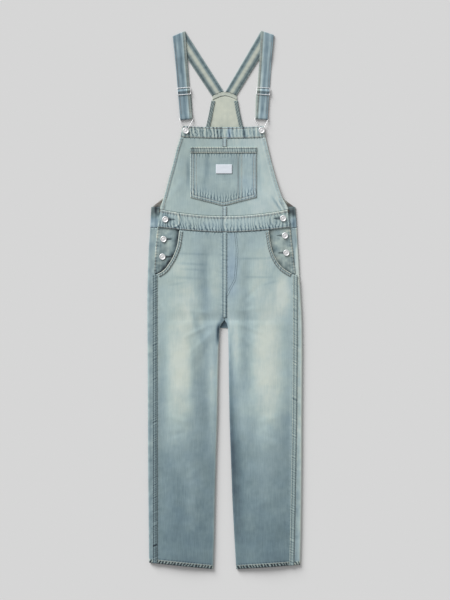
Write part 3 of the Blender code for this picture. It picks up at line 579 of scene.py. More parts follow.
def lattice(x, y, cell, seed):
    """Smooth noise from -1 to 1 that changes over about one cell."""
    values = np.random.default_rng(seed).uniform(-1, 1, (64, 64))
    x, y = np.broadcast_arrays(np.asarray(x, float) / cell, np.asarray(y, float) / cell)
    x0 = np.floor(x).astype(int)
    y0 = np.floor(y).astype(int)
    tx = ease(x - x0)
    ty = ease(y - y0)

    def at(dx, dy):
        return values[(x0 + dx) % 64, (y0 + dy) % 64]

    low = at(0, 0) * (1 - tx) + at(1, 0) * tx
    high = at(0, 1) * (1 - tx) + at(1, 1) * tx
    return low * (1 - ty) + high * ty


def ribs(run, pitch, seed):
    """Uneven ridges with narrow furrows between them, from -1 in a furrow to 1 on a ridge."""
    level = 0 * run
    drift = 0.9 * lattice(run, level, 3.1 * pitch, seed)
    drift = drift + 0.3 * lattice(run, level, 1.3 * pitch, seed + 7)
    size = 0.75 + 0.35 * lattice(run, level, 1.9 * pitch, seed + 50)
    ridge = np.abs(np.sin(np.pi * (run / pitch + drift)))
    return (2 * ridge**0.85 - 1) * size


def pucker(run, away, pitch, reach, seed):
    """Ribs along a seam, which die out away from it."""
    return ribs(run, pitch, seed) * np.exp(-np.abs(away) / reach)


def rubbed(tone, ripple, share=1.0):
    """The tone where ridges are rubbed pale and furrows keep their blue."""
    return tone + share * (0.14 * np.maximum(ripple, 0) + 0.6 * np.minimum(ripple, 0))


def by_side(x, value):
    """The value for the left side where x is below nought, else for the right."""
    return np.where(x < 0, value("left"), value("right"))


# The garment's surfaces


def turn(y):
    return np.radians(straight(TURN, "angle", y))


def inner_side(side, y):
    """Distance out to the middle of the wall at the inseam, or at the centre seam."""
    return straight(INSIDE, side, y) + WALL / 2 * np.sin(turn(y))


def shoulder(side, y):
    """Distance out to where the front layer leaves the outer turn."""
    return curve(OUTLINE, side, y) - WALL / 2 - ROLL


def level_strip(angle):
    return FLAT_STEP * (1 - np.sin(angle))


def turn_top(side, y):
    """Distance out and height where the front layer starts to turn down to the inseam."""
    angle = turn(y)
    u = inner_side(side, y) + ROLL * np.sin(angle) + level_strip(angle)
    return u, middle_surface(y)


def middle_surface(y):
    """Height of the front layer at the centre seam."""
    return straight(LIFT, "seam", y) + ROLL * (1 - np.cos(turn(y)))


def front_height(side, u, y):
    """Middle of the front layer above the floor."""
    inner, level = turn_top(side, y)
    f = np.clip((u - inner) / (shoulder(side, y) - inner), 0.0, 1.0)
    dome = straight(LIFT, "dome", y) * np.sin(np.pi * f) ** DOME_POWER
    return level + (EDGE - level) * ease(f) + dome + line_sum(FOLDS, "height", SIGN[side] * u, y)


def waist_line(line, x):
    return line["middle"] + line["rise"] * (np.abs(x) / line["reach"]) ** line["power"]


def on_hem(y, past, fade):
    """One on a leg's hem and nought above it; past is where it ends, fade how long it takes."""
    return ease((HEM_Y + HEM_DEPTH + past - y) / fade)


def leaned(side, u, y):
    """A leg row's true y: rows near the hem rise to the outer corner."""
    inner = straight(INSIDE, side, y)
    f = (u - inner) / (curve(OUTLINE, side, y) - inner)
    return y + HEM_RISE[side] * f * ease((HEM_Y + HEM_RISE_REACH - y) / HEM_RISE_REACH)


def puckers(side, u, y):
    """Ripples of the front along its seams, from about -1 to 1."""
    x = SIGN[side] * u
    seed = 10 if side == "left" else 20
    outseam = np.maximum(np.abs(u - straight(OUTSEAM, side, y)) - FELL_HALF, 0)
    middle = np.maximum(np.abs(x - MIDDLE_X) - FELL_HALF, 0)
    opening = curve(POCKET_EDGE, side, y) - RIM_WIDTH - u
    waist = np.maximum(waist_line(WAIST_LOW, u) - y, 0)
    hem = np.maximum(y - HEM_Y - HEM_DEPTH, 0)
    total = 0.45 * ease((90 - y) / 30) * pucker(y + 0.4 * u, outseam, 11, 4, seed)
    total = total + 0.5 * ease((y + 50) / 20) * pucker(y - 0.3 * u, middle, 12, 5, seed + 1)
    total = total + 0.5 * ease((y - 70) / 20) * pucker(y - 0.8 * u, opening, 10, 5, seed + 3)
    total = total + 0.7 * pucker(x + 0.3 * y, waist, 12, 7, seed + 4) * (y > 90)
    total = total + 1.1 * pucker(u + 0.5 * y, hem, HEM_ROPE, 2.5, 90)
    return np.clip(total, -1.2, 1.2)


def relief(side, u, y):
    """What creases, puckers and the hand of the cloth add to the front's height."""
    x = SIGN[side] * u
    sizes = bpy.context.scene.overalls_cloth
    soft = 0.45 * lattice(x, y, 70, 1) + 0.22 * lattice(x, y, 26, 2) + 0.1 * lattice(x, y, 9, 3)
    inner, _ = turn_top(side, y)
    fade = ease((u - inner + 4) / 14) * ease((shoulder(side, y) - u + 6) / 14)
    fade = fade * ease((y - HEM_Y - 2) / 14) + 0.3
    creases = sizes.crease_height * (soft + line_sum(CREASES, "height", x, y))
    ripples = sizes.pucker_height / MM * puckers(side, u, y)
    return creases * np.minimum(fade, 1) + ripples * np.minimum(fade + 0.2, 1)


def surface(side, u, y):
    """Middle of the front layer with its creases."""
    return front_height(side, u, y) + relief(side, u, y)


def wash(side, u, y):
    """How pale the front's denim is, nought to one."""
    x = SIGN[side] * u
    low, waist, rise = OUTER_FADE[side]
    past = u - straight(OUTSEAM, side, y)
    outer = OUTER_TONE[side] - low * ease((-300 - y) / 300)
    outer = outer - 0.1 * bell(past - 12, 4) + 0.1 * lattice(x, y, 12, 92)
    outer = outer + rise * ease((y - 20) / 60)
    outer = outer - waist * ease((y - 110) / 70) * (0.8 + 0.6 * lattice(x, y, 14, 96))
    tone = straight(WASH, "tone", y) + oval_sum(OVALS, x, y) + line_sum(STROKES, "tone", x, y)
    tone = tone + (outer - tone) * ease((past + 2) / 4)
    return tone + 0.04 * lattice(x, y, 34, 6) + 0.03 * lattice(x, y, 13, 7)


def front_tint(side, u, y):
    x = SIGN[side] * u
    return oval_sum(TINTS, x, y) + 0.35 * lattice(x, y, 26, 14) - 2.0 * on_hem(y, 1, 2)


def paired(x, y):
    return np.broadcast_arrays(np.asarray(x, float), np.asarray(y, float))


def bib_height(x, y):
    """Middle of the bib: level with the waistband at its foot, lying on the back near its top."""
    x, y = paired(x, y)
    foot = by_side(x, lambda side: front_height(side, np.abs(x), BIB_FOOT_Y))
    fall = ease((y - BIB_FOOT_Y) / (BIB_LEVEL_Y - BIB_FOOT_Y))
    return foot + (BIB_LEVEL - foot) * fall + np.maximum(line_sum(BIB_FOLDS, "height", x, y), 0.0)


def bib_edge(x, y):
    return by_side(x, lambda side: curve(BIB_EDGE, side, y))


def bib_puckers(x, y):
    edge = np.maximum(bib_edge(x, y) - np.abs(x) - BIB_HEM, 0)
    middle = np.maximum(np.abs(x - MIDDLE_X) - 4, 0)
    waist = np.maximum(y - waist_line(WAIST_HIGH, x), 0)
    total = 0.35 * pucker(y + 0.4 * x, edge, 12, 4, 31) + 0.45 * pucker(y, middle, 12, 4, 32)
    total = total + 0.6 * pucker(x, np.maximum(BAND_LOW_Y - y, 0), 11, 4, 33)
    total = total + 0.6 * pucker(x + 0.3 * y, waist, 12, 5, 34)
    return total + line_sum(BIB_PULLS, "height", x, y)


def bib_surface(x, y):
    """Middle of the bib with its creases."""
    sizes = bpy.context.scene.overalls_cloth
    soft = sizes.crease_height * (0.3 * lattice(x, y, 60, 4) + 0.18 * lattice(x, y, 22, 5))
    return bib_height(x, y) + soft + sizes.pucker_height / MM * bib_puckers(x, y)


def bib_wash_and_shadow(x, y):
    # Paler towards the right; the darker strip near x = -122, above y = 280, is painted shadow
    # beside the pocket
    tone = 0.69 + 0.14 * ease((x + 40) / 150) - 0.1 * bell(x + 122, 12) * ease((y - 280) / 60)
    return tone + 0.04 * lattice(x, y, 30, 8) + 0.03 * lattice(x, y, 12, 9)


def band_line(level, x):
    return level + BAND_RISE * (np.abs(x) / BAND_REACH) ** 2


def pocket_bottom(x):
    away = np.abs(x - BIB_POCKET["point_x"])
    reach = BIB_POCKET["right"] - BIB_POCKET["point_x"]
    return BIB_POCKET["point"] + (BIB_POCKET["corner"] - BIB_POCKET["point"]) * away / reach


def yoke_arch(x):
    return YOKE_TOP_Y - YOKE_DROP * np.minimum(np.abs(x) / YOKE_HALF, 1.2) ** YOKE_POWER


# Meshes


def unit(vectors):
    return vectors / np.maximum(np.linalg.norm(vectors, axis=-1, keepdims=True), 1e-9)


def points(*columns):
    """Columns of coordinates as one array of points."""
    return np.stack(np.broadcast_arrays(*columns), axis=-1)


def run_length(line):
    """How far along a line of points each of them lies."""
    return np.concatenate([[0], np.cumsum(np.linalg.norm(np.diff(line, axis=0), axis=1))])


def along_line(line, run, at):
    """Points on a line at the given distances along it."""
    return np.stack([np.interp(at, run, column) for column in line.T], axis=1)


def add_mesh(name, places, faces, finish, values=None):
    """A smooth mesh of quads from points in millimetres, with one number a point for each value."""
    places = np.asarray(places, float)
    faces = np.asarray(faces, np.int32)
    mesh = bpy.data.meshes.new(name)
    mesh.vertices.add(len(places))
    mesh.vertices.foreach_set("co", (places * MM).ravel())
    mesh.loops.add(faces.size)
    mesh.loops.foreach_set("vertex_index", faces.ravel())
    mesh.polygons.add(len(faces))
    mesh.polygons.foreach_set("loop_start", np.arange(0, faces.size, 4, dtype=np.int32))
    mesh.materials.append(finish)
    for key, numbers in (values or {}).items():
        layer = mesh.attributes.new(key, "FLOAT", "POINT")
        layer.data.foreach_set("value", np.asarray(numbers, np.float32).ravel())
    mesh.update(calc_edges=True)
    mesh.polygons.foreach_set("use_smooth", np.ones(len(faces), bool))
    obj = bpy.data.objects.new(name, mesh)
    bpy.context.scene.collection.objects.link(obj)
    return obj


def border_edges(cells, count_u):
    """Directed edges of the kept cells that no other kept cell shares."""
    v, u = np.nonzero(cells)
    a = v * count_u + u
    quads = np.stack([a, a + 1, a + count_u + 1, a + count_u], axis=1)
    starts = quads.ravel()
    ends = np.roll(quads, -1, axis=1).ravel()
    total = starts.max() + count_u + 2
    key = np.minimum(starts, ends) * total + np.maximum(starts, ends)
    _, first, counts = np.unique(key, return_index=True, return_counts=True)
    single = first[counts == 1]
    return quads, starts[single], ends[single]


def mirrored(side, numbers):
    """Numbers on a grid in the order of its columns, which run from the right to the left."""
    return numbers[:, ::-1] if side == "left" else numbers


def shell(
    name,
    nodes,
    columns,
    side=None,
    wall=WALL,
    outside=0.0,
    inside=0.0,
    tone=0.6,
    tint=0.0,
    undyed=(0.0, 1.0),
    rib=0.0,
    ribbed=0.0,
    finish="washed denim",
    cells=None,
):
    """A sheet of cloth as a thin closed wall with rounded edges around a grid of middle points.

    columns are x, y and z, or u, y and z on a side. outside and inside are what each face lies
    further out than half the wall. tone is how pale each point is, tint how blue, and undyed how
    much the weft shows on each face. rib counts the ribs that stitching has drawn the cloth into,
    and ribbed is how strongly they show.
    """
    grid = mirrored(side, points(*columns) * (SIGN.get(side, 1), 1, 1))
    count_v, count_u = shape = grid.shape[:2]
    cells = np.ones((count_v - 1, count_u - 1), bool) if cells is None else cells
    quads, starts, ends = border_edges(cells, count_u)
    normal = unit(np.cross(np.gradient(grid, axis=0), np.gradient(grid, axis=1)))
    outside, inside = (
        mirrored(side, np.broadcast_to(wall / 2 + extra, shape))[..., None]
        for extra in (outside, inside)
    )
    over = (grid + normal * outside).reshape(-1, 3)
    below = (grid - normal * inside).reshape(-1, 3)
    flat = grid.reshape(-1, 3)
    outward = np.zeros_like(flat)
    edge_way = unit(np.cross(flat[ends] - flat[starts], normal.reshape(-1, 3)[starts]))
    np.add.at(outward, starts, edge_way)
    np.add.at(outward, ends, edge_way)
    bulge = np.minimum(outside, WALL / 2).reshape(-1, 1) / 2
    places = np.concatenate([over, below, (over + below) / 2 + unit(outward) * bulge])
    places[:, 2] = np.maximum(places[:, 2], 0.0)
    count = len(flat)
    mid_starts = starts + 2 * count
    mid_ends = ends + 2 * count
    rim_over = np.stack([ends, starts, mid_starts, mid_ends], axis=1)
    rim_below = np.stack([mid_ends, mid_starts, starts + count, ends + count], axis=1)
    faces = np.concatenate([quads, quads[:, ::-1] + count, rim_over, rim_below])[:, ::-1]
    used, faces = np.unique(faces, return_inverse=True)
    layers = {"tone": tone, "tint": tint, "rib": rib, "ribbed": ribbed}
    layers = {key: (part, part, part) for key, part in layers.items()}
    layers["undyed"] = (*undyed, undyed[0])
    values = {}
    for key, parts in layers.items():
        spread = [mirrored(side, np.broadcast_to(part, shape)).ravel() for part in parts]
        values[key] = np.concatenate(spread)[used]
    obj = add_mesh(name, places[used], faces.reshape(-1, 4), look(finish), values)
    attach(obj, "root")
    if nodes:
        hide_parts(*nodes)
    declare_cut(grid, cells, quads)


def declare_cut(grid, cells, quads):
    """States the size that the sheet was cut to: its middle surface measured along the cloth."""
    along_u = np.linalg.norm(np.diff(grid, axis=1), axis=2)
    along_v = np.linalg.norm(np.diff(grid, axis=0), axis=2)
    shown_u = np.zeros(along_u.shape, bool)
    shown_u[:-1] |= cells
    shown_u[1:] |= cells
    shown_v = np.zeros(along_v.shape, bool)
    shown_v[:, :-1] |= cells
    shown_v[:, 1:] |= cells
    width = round(max((along_u * shown_u).sum(axis=1).max() * MM, 0.0101), 4)
    length = round((along_v * shown_v).sum(axis=0).max() * MM, 4)
    corners = grid.reshape(-1, 3)[quads]
    across = np.cross(corners[:, 2] - corners[:, 0], corners[:, 3] - corners[:, 1])
    area = np.linalg.norm(across, axis=1).sum() / 2 * MM * MM
    area = round(min(area, width * length), 6)


def rings(forward, angle):
    """Unit vectors round each forward direction at the given angles, and the upward ones."""
    across = unit(np.cross(forward, (0.0, 0.0, 1.0)))
    upward = np.cross(across, forward)
    angle = angle[:, None]
    return across[:, None] * np.cos(angle) + upward[:, None] * np.sin(angle), upward


def ring_faces(count, sides, closed=False):
    """Quads between rings of points that follow one another; closed joins the last to the first."""
    i, k = (part.ravel() for part in np.indices((count if closed else count - 1, sides)))
    on = (i + 1) % count
    near = (k + 1) % sides
    return np.stack([i * sides + k, on * sides + k, on * sides + near, i * sides + near], axis=1)


def sweep(name, centres, radius, finish, closed=True):
    """A round wire along a path of points."""
    path = np.array(centres, float)
    before = np.roll(path, 1, axis=0) if closed else np.concatenate([path[:1], path[:-1]])
    after = np.roll(path, -1, axis=0) if closed else np.concatenate([path[1:], path[-1:]])
    ring, _ = rings(unit(after - before), 2 * np.pi * np.arange(WIRE_SIDES) / WIRE_SIDES)
    places = (path[:, None] + radius * ring).reshape(-1, 3)
    return add_mesh(name, places, ring_faces(len(path), WIRE_SIDES, closed), finish)


def lathe(name, x, y, base, profile, finish):
    """A body of revolution about a vertical line, from (radius, height) pairs."""
    profile = np.array(profile, float)
    radius = profile[:, :1]
    angle = 2 * np.pi * np.arange(LATHE_SIDES) / LATHE_SIDES
    places = points(x + radius * np.cos(angle), y + radius * np.sin(angle), base + profile[:, 1:])
    faces = ring_faces(len(profile), LATHE_SIDES)[:, (0, 3, 2, 1)]
    return add_mesh(name, places.reshape(-1, 3), faces, finish)


def thread(name, lines, finish, radius=None):
    """Stitches along lines of points on the cloth: each dips into it at both ends."""
    sizes = bpy.context.scene.overalls_cloth
    radius = radius or sizes.thread_radius / MM
    starts = []
    ends = []
    for line in lines:
        run = run_length(line)
        count = max(int(round(run[-1] / (sizes.stitch_pitch / MM))), 1)
        at = (np.arange(count) + 0.5) * run[-1] / count
        starts.append(along_line(line, run, at - STITCH_LENGTH / 2))
        ends.append(along_line(line, run, at + STITCH_LENGTH / 2))
    a = np.concatenate(starts)
    b = np.concatenate(ends)
    ring, upward = rings(unit(b - a), 2 * np.pi * (np.arange(THREAD_SIDES) + 0.25) / THREAD_SIDES)
    places = []
    for share, lift, size in STITCH_RINGS:
        centre = a + (b - a) * share + upward * radius * (lift + 0.25)
        places.append(centre[:, None] + ring * radius * size)
    places = np.stack(places, axis=1)
    first = np.arange(len(a))[:, None, None] * len(STITCH_RINGS) * THREAD_SIDES
    faces = (first + ring_faces(len(STITCH_RINGS), THREAD_SIDES)).reshape(-1, 4)
    obj = add_mesh(name, places.reshape(-1, 3), faces, finish)
    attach(obj, "root")


# Finishes


def linear(red, green, blue):
    """A colour as it shows on a screen, 0 to 255, as the light it stands for."""
    shown = np.array((red, green, blue)) / 255
    light = np.where(shown <= 0.04045, shown / 12.92, ((shown + 0.055) / 1.055) ** 2.4)
    return tuple(light.tolist())


class Wire:
    """One output of a shader node: sums on it are written as Python and become nodes."""

    def __init__(self, finish, socket):
        self.finish = finish
        self.socket = socket

    def joined(self, operation, *parts):
        vector = any(isinstance(p, Wire) and p.socket.type in ("VECTOR", "RGBA") for p in parts)
        kind = "ShaderNodeVectorMath" if vector else "ShaderNodeMath"
        return self.finish.node(kind, {"operation": operation}, dict(enumerate(parts)))

    def sine(self):
        return self.joined("SINE", self)

    def clamped(self):
        return self.joined("MINIMUM", self.joined("MAXIMUM", self, 0.0), 1.0)


def add_operator(sign, operation):
    """Lets Python's sign join two wires, or a wire and a number on either side of it."""
    setattr(Wire, f"__{sign}__", lambda wire, other: wire.joined(operation, wire, other))
    setattr(Wire, f"__r{sign}__", lambda wire, other: wire.joined(operation, other, wire))


for sign, operation in zip(
    ("add", "sub", "mul", "truediv"), ("ADD", "SUBTRACT", "MULTIPLY", "DIVIDE")
):
    add_operator(sign, operation)


class Finish:
    """A material under construction."""

    def __init__(self, name):
        self.material = bpy.data.materials.new(name)
        self.material.use_nodes = True
        self.tree = self.material.node_tree
        self.shader = self.tree.nodes["Principled BSDF"]

    def node(self, kind, settings=None, values=None, output=0):
        """Adds a node: its settings first, then numbers, colours or wires on its inputs."""
        made = self.tree.nodes.new(kind)
        for key, value in (settings or {}).items():
            setattr(made, key, value)
        for key, value in (values or {}).items():
            self.plug(made.inputs[key], value)
        return Wire(self, made.outputs[output])

    def plug(self, socket, value):
        if isinstance(value, Wire):
            self.tree.links.new(value.socket, socket)
        else:
            socket.default_value = value

    def mix(self, first, second, share):
        def colour(value):
            return value if isinstance(value, Wire) else (*value[:3], 1.0)

        values = {0: share, 6: colour(first), 7: colour(second)}
        return self.node("ShaderNodeMix", {"data_type": "RGBA"}, values, output=2)

    def ramp(self, tone, colours):
        """Colours spread evenly over nought to one of the tone."""
        share = 1 / (len(colours) - 1)
        shade = colours[0]
        for i, colour in enumerate(colours[1:]):
            shade = self.mix(shade, colour, ((tone - i * share) / share).clamped())
        return shade

    def attribute(self, name):
        return self.node("ShaderNodeAttribute", {"attribute_name": name}, output=2)

    def place(self):
        """Where a point lies on the garment, in millimetres."""
        return self.node("ShaderNodeTexCoord", output=3) * (1 / MM, 1 / MM, 1 / MM)

    def noise(self, place, scale, detail=2.0):
        """Noise from -1 to 1; scale is features for each millimetre, one number or one an axis."""
        stretched = place * (scale if isinstance(scale, tuple) else (scale, scale, scale))
        values = {"Vector": stretched, "Scale": 1.0, "Detail": detail}
        return self.node("ShaderNodeTexNoise", values=values) * 2.0 - 1.0

    def done(self, height=None, **values):
        for key, value in values.items():
            self.plug(self.shader.inputs[key.replace("_", " ")], value)
        if height is not None:
            values = {"Strength": 1.0, "Distance": MM, "Height": height}
            self.plug(self.shader.inputs["Normal"], self.node("ShaderNodeBump", values=values))
        return self.material


def look(name):
    """The material of that name, made when it is first asked for."""
    return bpy.data.materials.get(name) or LOOKS[name](name)


def twill(finish, place, pitch):
    """Diagonal ribs of the weave, from -1 to 1."""
    values = {0: place, 1: (1.0, 0.8, 0.0)}
    along = finish.node("ShaderNodeVectorMath", {"operation": "DOT_PRODUCT"}, values, output=1)
    return (along * (2 * math.pi / pitch)).sine()


def denim_finish(name):
    """Denim: its blue follows the wash, and the undyed weft shows on the wrong side."""
    colours = bpy.context.scene.overalls_colours
    finish = Finish(name)
    place = finish.place()
    streak = finish.noise(place, (0.42, 0.03, 0.2))
    mottle = finish.noise(place, 0.09)
    grain = finish.noise(place, 0.8, 3.0)
    drift = finish.noise(place, 0.05) * 4.0 + finish.noise(place, 0.16) * 2.0
    wave = (finish.attribute("rib") * (2 * math.pi) + drift).sine()
    ridge = ((-0.25 - wave) / 0.75).clamped() * 0.28
    furrow = ((wave - 0.15) / 0.85).clamped() * 0.75
    ribs_show = finish.attribute("ribbed") * (0.75 + finish.noise(place, 0.17) * 0.7)
    tone = finish.attribute("tone") + ribs_show * (ridge - furrow)
    tone = tone + streak * 0.1 + mottle * 0.04 + grain * 0.07
    blues = ("furrow_blue", "deep_blue", "dark_blue", "blue", "pale_blue", "worn_blue")
    shade = finish.ramp(tone * 0.8 + 0.2, [getattr(colours, blue) for blue in blues])
    tint = finish.attribute("tint") + finish.noise(place, 0.06) * 0.25
    cast = {0: 1.0 - tint * 0.03, 1: 1.0 - tint * tint * 0.007, 2: 1.0 + tint * 0.06}
    inside_tone = finish.attribute("tone") + streak * 0.08 + grain * 0.12
    undyed = [colours.inside_shadow, colours.wrong_side_shade, colours.wrong_side]
    return finish.done(
        height=twill(finish, place, 1.1) * 0.008 + grain * 0.05,
        Base_Color=finish.mix(
            shade * finish.node("ShaderNodeCombineXYZ", values=cast),
            finish.ramp(inside_tone, undyed),
            finish.attribute("undyed").clamped(),
        ),
        Roughness=0.93,
        Specular_IOR_Level=0.2,
        Sheen_Weight=0.08,
    )


def mottled(finish, base, dark, share, grain):
    """The colour and a darker one, mixed by the grain."""
    return finish.mix([part * dark for part in base], base, (share + grain).clamped())


def thread_finish(name):
    base = getattr(bpy.context.scene.overalls_colours, name.replace(" ", "_"))
    finish = Finish(name)
    shade = mottled(finish, base, 0.75, 0.6, finish.noise(finish.place(), 0.35) * 0.5)
    return finish.done(Base_Color=shade, Roughness=0.8, Specular_IOR_Level=0.25)


def metal_finish(name):
    finish = Finish(name)
    place = finish.place()
    cloud = finish.noise(place, 0.35, 3.0)
    metal = bpy.context.scene.overalls_colours.metal
    return finish.done(
        height=finish.noise(place, 1.8) * 0.01,
        Base_Color=mottled(finish, metal, 0.82, 0.5, cloud * 0.8),
        Metallic=1.0,
        Roughness=0.55 + cloud * 0.08,
    )


def label_finish(name):
    finish = Finish(name)
    grain = finish.noise(finish.place(), 0.5, 3.0)
    shade = mottled(finish, bpy.context.scene.overalls_colours.label, 0.9, 0.6, grain * 0.5)
    return finish.done(height=grain * 0.03, Base_Color=shade, Roughness=0.75)


def floor_finish(name):
    paper = (*bpy.context.scene.overalls_colours.floor, 1.0)
    return Finish(name).done(Base_Color=paper, Roughness=1.0, Specular_IOR_Level=0.0)


LOOKS = {
    "washed denim": denim_finish,
    "pale thread": thread_finish,
    "tan thread": thread_finish,
    "dark thread": thread_finish,
    "polished metal": metal_finish,
    "blank label": label_finish,
    "paper floor": floor_finish,
}


# Pieces


def steps(low, high, size):
    return np.linspace(low, high, max(int(round((high - low) / size)), 2) + 1)


def front_tone(side, u, y):
    """The front's wash, rubbed pale on its ripples and along its right edge and left inseam."""
    hem = on_hem(y, 1, 3)
    tone = rubbed(wash(side, u, y), puckers(side, u, y), 1 - hem) - 0.2 * hem
    if side == "right":
        edge = curve(OUTLINE, side, y) - u
    else:
        edge = u - straight(INSIDE, side, y) + 100 * (y > -60)
    # Painted light: the turns at the right edge and the left inseam face away from the key light
    # and are painted paler
    tone = tone + 0.5 * ease((5 - edge) / 4)
    return tone + stripes(
        y - HEM_Y, (0.5, 1.8, -0.3), (HEM_DEPTH - 1, 1.3, 0.4), (HEM_DEPTH + 2.5, 1.4, -0.2)
    )


def front_ribs(u, y):
    """How strongly ribs show: on the hem, and a little under the waist."""
    return 2.6 * on_hem(y, -1, 2) + 0.35 * bell(waist_line(WAIST_LOW, u) - y, 8)


def leg_panel(name, side, u, y, z, rise, inside, shade):
    shell(
        f"{name}_{side}",
        [f"{name}_leg_{side}"],
        (u, leaned(side, u, y) + rise, z),
        side=side,
        inside=inside,
        tone=front_tone(side, u, y) - shade,
        tint=front_tint(side, u, y),
        rib=(u + 0.5 * y) / HEM_ROPE,
        ribbed=front_ribs(u, y),
    )


def make_front(side):
    fine = steps(HEM_Y, FINE_ROWS_Y, 1.5)[:-1]
    y = np.concatenate([fine, steps(FINE_ROWS_Y, WAIST_LOW["middle"], 3)])[:, None]
    seam_edge = straight(OUTSEAM, side, y) - SEAM / 2
    edge = seam_edge + (curve(POCKET_EDGE, side, y) - seam_edge) * ease((y - 52) / 20)
    angle = turn(y)
    inner, level = turn_top(side, y)
    u = edge + (inner - edge) * np.linspace(0, 1, 92)[None]
    z = surface(side, u, y)
    share = np.linspace(0, 1, 7)[None, 1:]
    bend = angle * share
    sideways = ROLL * (np.sin(angle) - np.sin(bend)) + level_strip(angle) * (1 - share)
    turn_z = level - ROLL * (1 - np.cos(bend)) + relief(side, inner, y) * (1 - share)
    u = np.concatenate([u, inner_side(side, y) + sideways], axis=1)
    z = np.concatenate([z, turn_z], axis=1)
    near_waist = ease((y - WAIST_LEAN_Y) / (WAIST_LOW["middle"] - WAIST_LEAN_Y))
    rise = near_waist * (waist_line(WAIST_LOW, u) - WAIST_LOW["middle"] - SEAM / 2)
    inside = HEM_EXTRA * on_hem(y, 2, 4)
    leg_panel("front", side, u, y, z, rise, inside, 0.0)


def make_crotch():
    """The corner of the back's crotch seam that shows between the legs."""
    y = steps(CORNER_LOW_Y, SEAM_LOW_Y, 1.5)[:, None]
    middle = 0.5 - 3.0 * ease((SEAM_LOW_Y - y) / 20)
    reach = 12.5 - 8 * ease((y + 70) / 18)
    shell(
        "back_crotch",
        [],
        (middle - reach * np.linspace(-1, 1, 15)[None], y, 0.9),
        # Painted shade: nearly the darkest blue for the shadow between the legs, paler at its
        # lowest edge
        tone=0.02 + 0.3 * bell(y - CORNER_LOW_Y, 2.5),
        tint=0.3,
    )


def opening_sink(y):
    return OPENING_SINK * ease((y - SINK_START_Y) / (OPENING_Y - 0.5 - SINK_START_Y))


def outer_turn(side, y, count=11):
    """Distances out and heights of the back layer round the outer side, from floor to top."""
    radius = (EDGE - opening_sink(y) - FLOOR) / 2
    centre = curve(OUTLINE, side, y) - WALL / 2 - radius
    angle = np.radians(np.linspace(-90, 90, count))[None]
    return centre + radius * np.cos(angle), FLOOR + radius + radius * np.sin(angle)


def make_back(side):
    y = np.concatenate([steps(HEM_Y, 60, 3), steps(62.5, BACK_TOP_Y - SEAM / 2, 2.5)])[:, None]
    angle = turn(y)
    radius = ROLL - SEAM / 2
    share = np.linspace(1, 0, 7)[None]
    bend = angle * share
    sideways = radius * (np.sin(angle) - np.sin(bend)) + level_strip(angle) * (1 - share)
    inner_u = inner_side(side, y) + sideways
    inner_z = FLOOR + straight(BACK_LIFT, "rise", y) - radius * (np.cos(bend) - np.cos(angle))
    wrap_u, wrap_z = outer_turn(side, y)
    share = np.array((0.15, 0.35, 0.55, 0.75, 0.9))[None]
    floor_u = inner_u[:, -1:] + (wrap_u[:, :1] - inner_u[:, -1:]) * share
    edge = np.where(y < OPENING_Y, straight(OUTSEAM, side, y) + SEAM / 2, STAND_EDGE[side])
    top_u = wrap_u[:, -1:] + (edge - wrap_u[:, -1:]) * np.linspace(0, 1, 12)[None, 1:]
    fade = ease((wrap_u[:, -1:] - top_u) / 6)
    top_z = front_height(side, top_u, y) - opening_sink(y) + relief(side, top_u, y) * fade
    u = np.concatenate([inner_u, floor_u, wrap_u, top_u], axis=1)
    z = np.concatenate([inner_z, 0 * floor_u + FLOOR, wrap_z, top_z], axis=1)
    inside = np.where(z < 3, 0, HEM_EXTRA * on_hem(y, 2, 4))
    leg_panel("back", side, u, y, z, 0.0, inside, 0.05)


def make_outseam(side):
    y = steps(HEM_Y, 72, 1.6)[:, None]
    across = np.linspace(FELL_HALF, -FELL_HALF, 13)[None]
    u = straight(OUTSEAM, side, y) + across
    ripple = ribs(y + 0.5 * across, 5.5, 41 + (side == "left"))
    tone = {"left": 0.34, "right": 0.64}[side] - 0.12 * ease((-200 - y) / 400)
    tone = tone + stripes(
        across, (-5.6, 1.2, 0.25), (-2.6, 1.6, -0.34), (0, 1.5, 0.06), (4.6, 1.5, -0.22)
    )
    shell(
        f"outseam_{side}_fell",
        [f"outseam_{side}"],
        (u, leaned(side, u, y), surface(side, u, y) + LAYER + 0.22 * ripple),
        side=side,
        tone=rubbed(tone, ripple, 0.8) + 0.1 * np.maximum(ripple, 0),
        tint=-0.8,
        rib=(y + 0.5 * across) / 8.5,
        ribbed=0.22 * bell(across, 6) * (0.5 + 0.5 * lattice(across, y, 40, 93)),
    )


def middle_fell(name, y, height, seed, ripple_height, shade, tint):
    """A felled seam on the middle line; height and shade are functions of the place across it."""
    y = y[:, None]
    across = np.linspace(FELL_HALF - 0.3, 0.3 - FELL_HALF, 13)[None]
    ripple = ribs(y + 0.4 * across, 7, seed)
    shell(
        f"{name}_fell",
        [name],
        (MIDDLE_X + across, y, height(across, y) + LAYER + ripple_height * ripple),
        tone=rubbed(shade(across, y), ripple, 0.4),
        tint=tint,
        rib=y / 8,
        ribbed=0.12,
    )


def make_centre_seam():
    def height(across, y):
        return middle_surface(y) + relief("right", np.abs(across) + 1, y)

    def shade(across, y):
        dark = 0.5 * bell(across - 4.6, 1.6) * ease((30 - y) / 20)
        return 0.62 + stripes(across, (-4.6, 1.5, -0.55), (-1.5, 1.6, 0.22)) - dark

    y = steps(SEAM_LOW_Y, WAIST_LOW["middle"] - 2 * SEAM, 2.0)
    middle_fell("centre_seam", y, height, 44, 0.25, shade, 0.2)


def facing_edges(side, y):
    outer = straight(FACING_EDGE, side, y)
    inner = curve(POCKET_EDGE, side, y) - POCKET_LAP
    return outer, np.minimum(inner, outer - 8)


def side_buttons(side):
    """Where the side's buttons lie, from the waist down."""
    return [(x, y) for sign, x, y in zip(*BUTTONS.values()) if sign == SIGN[side]]


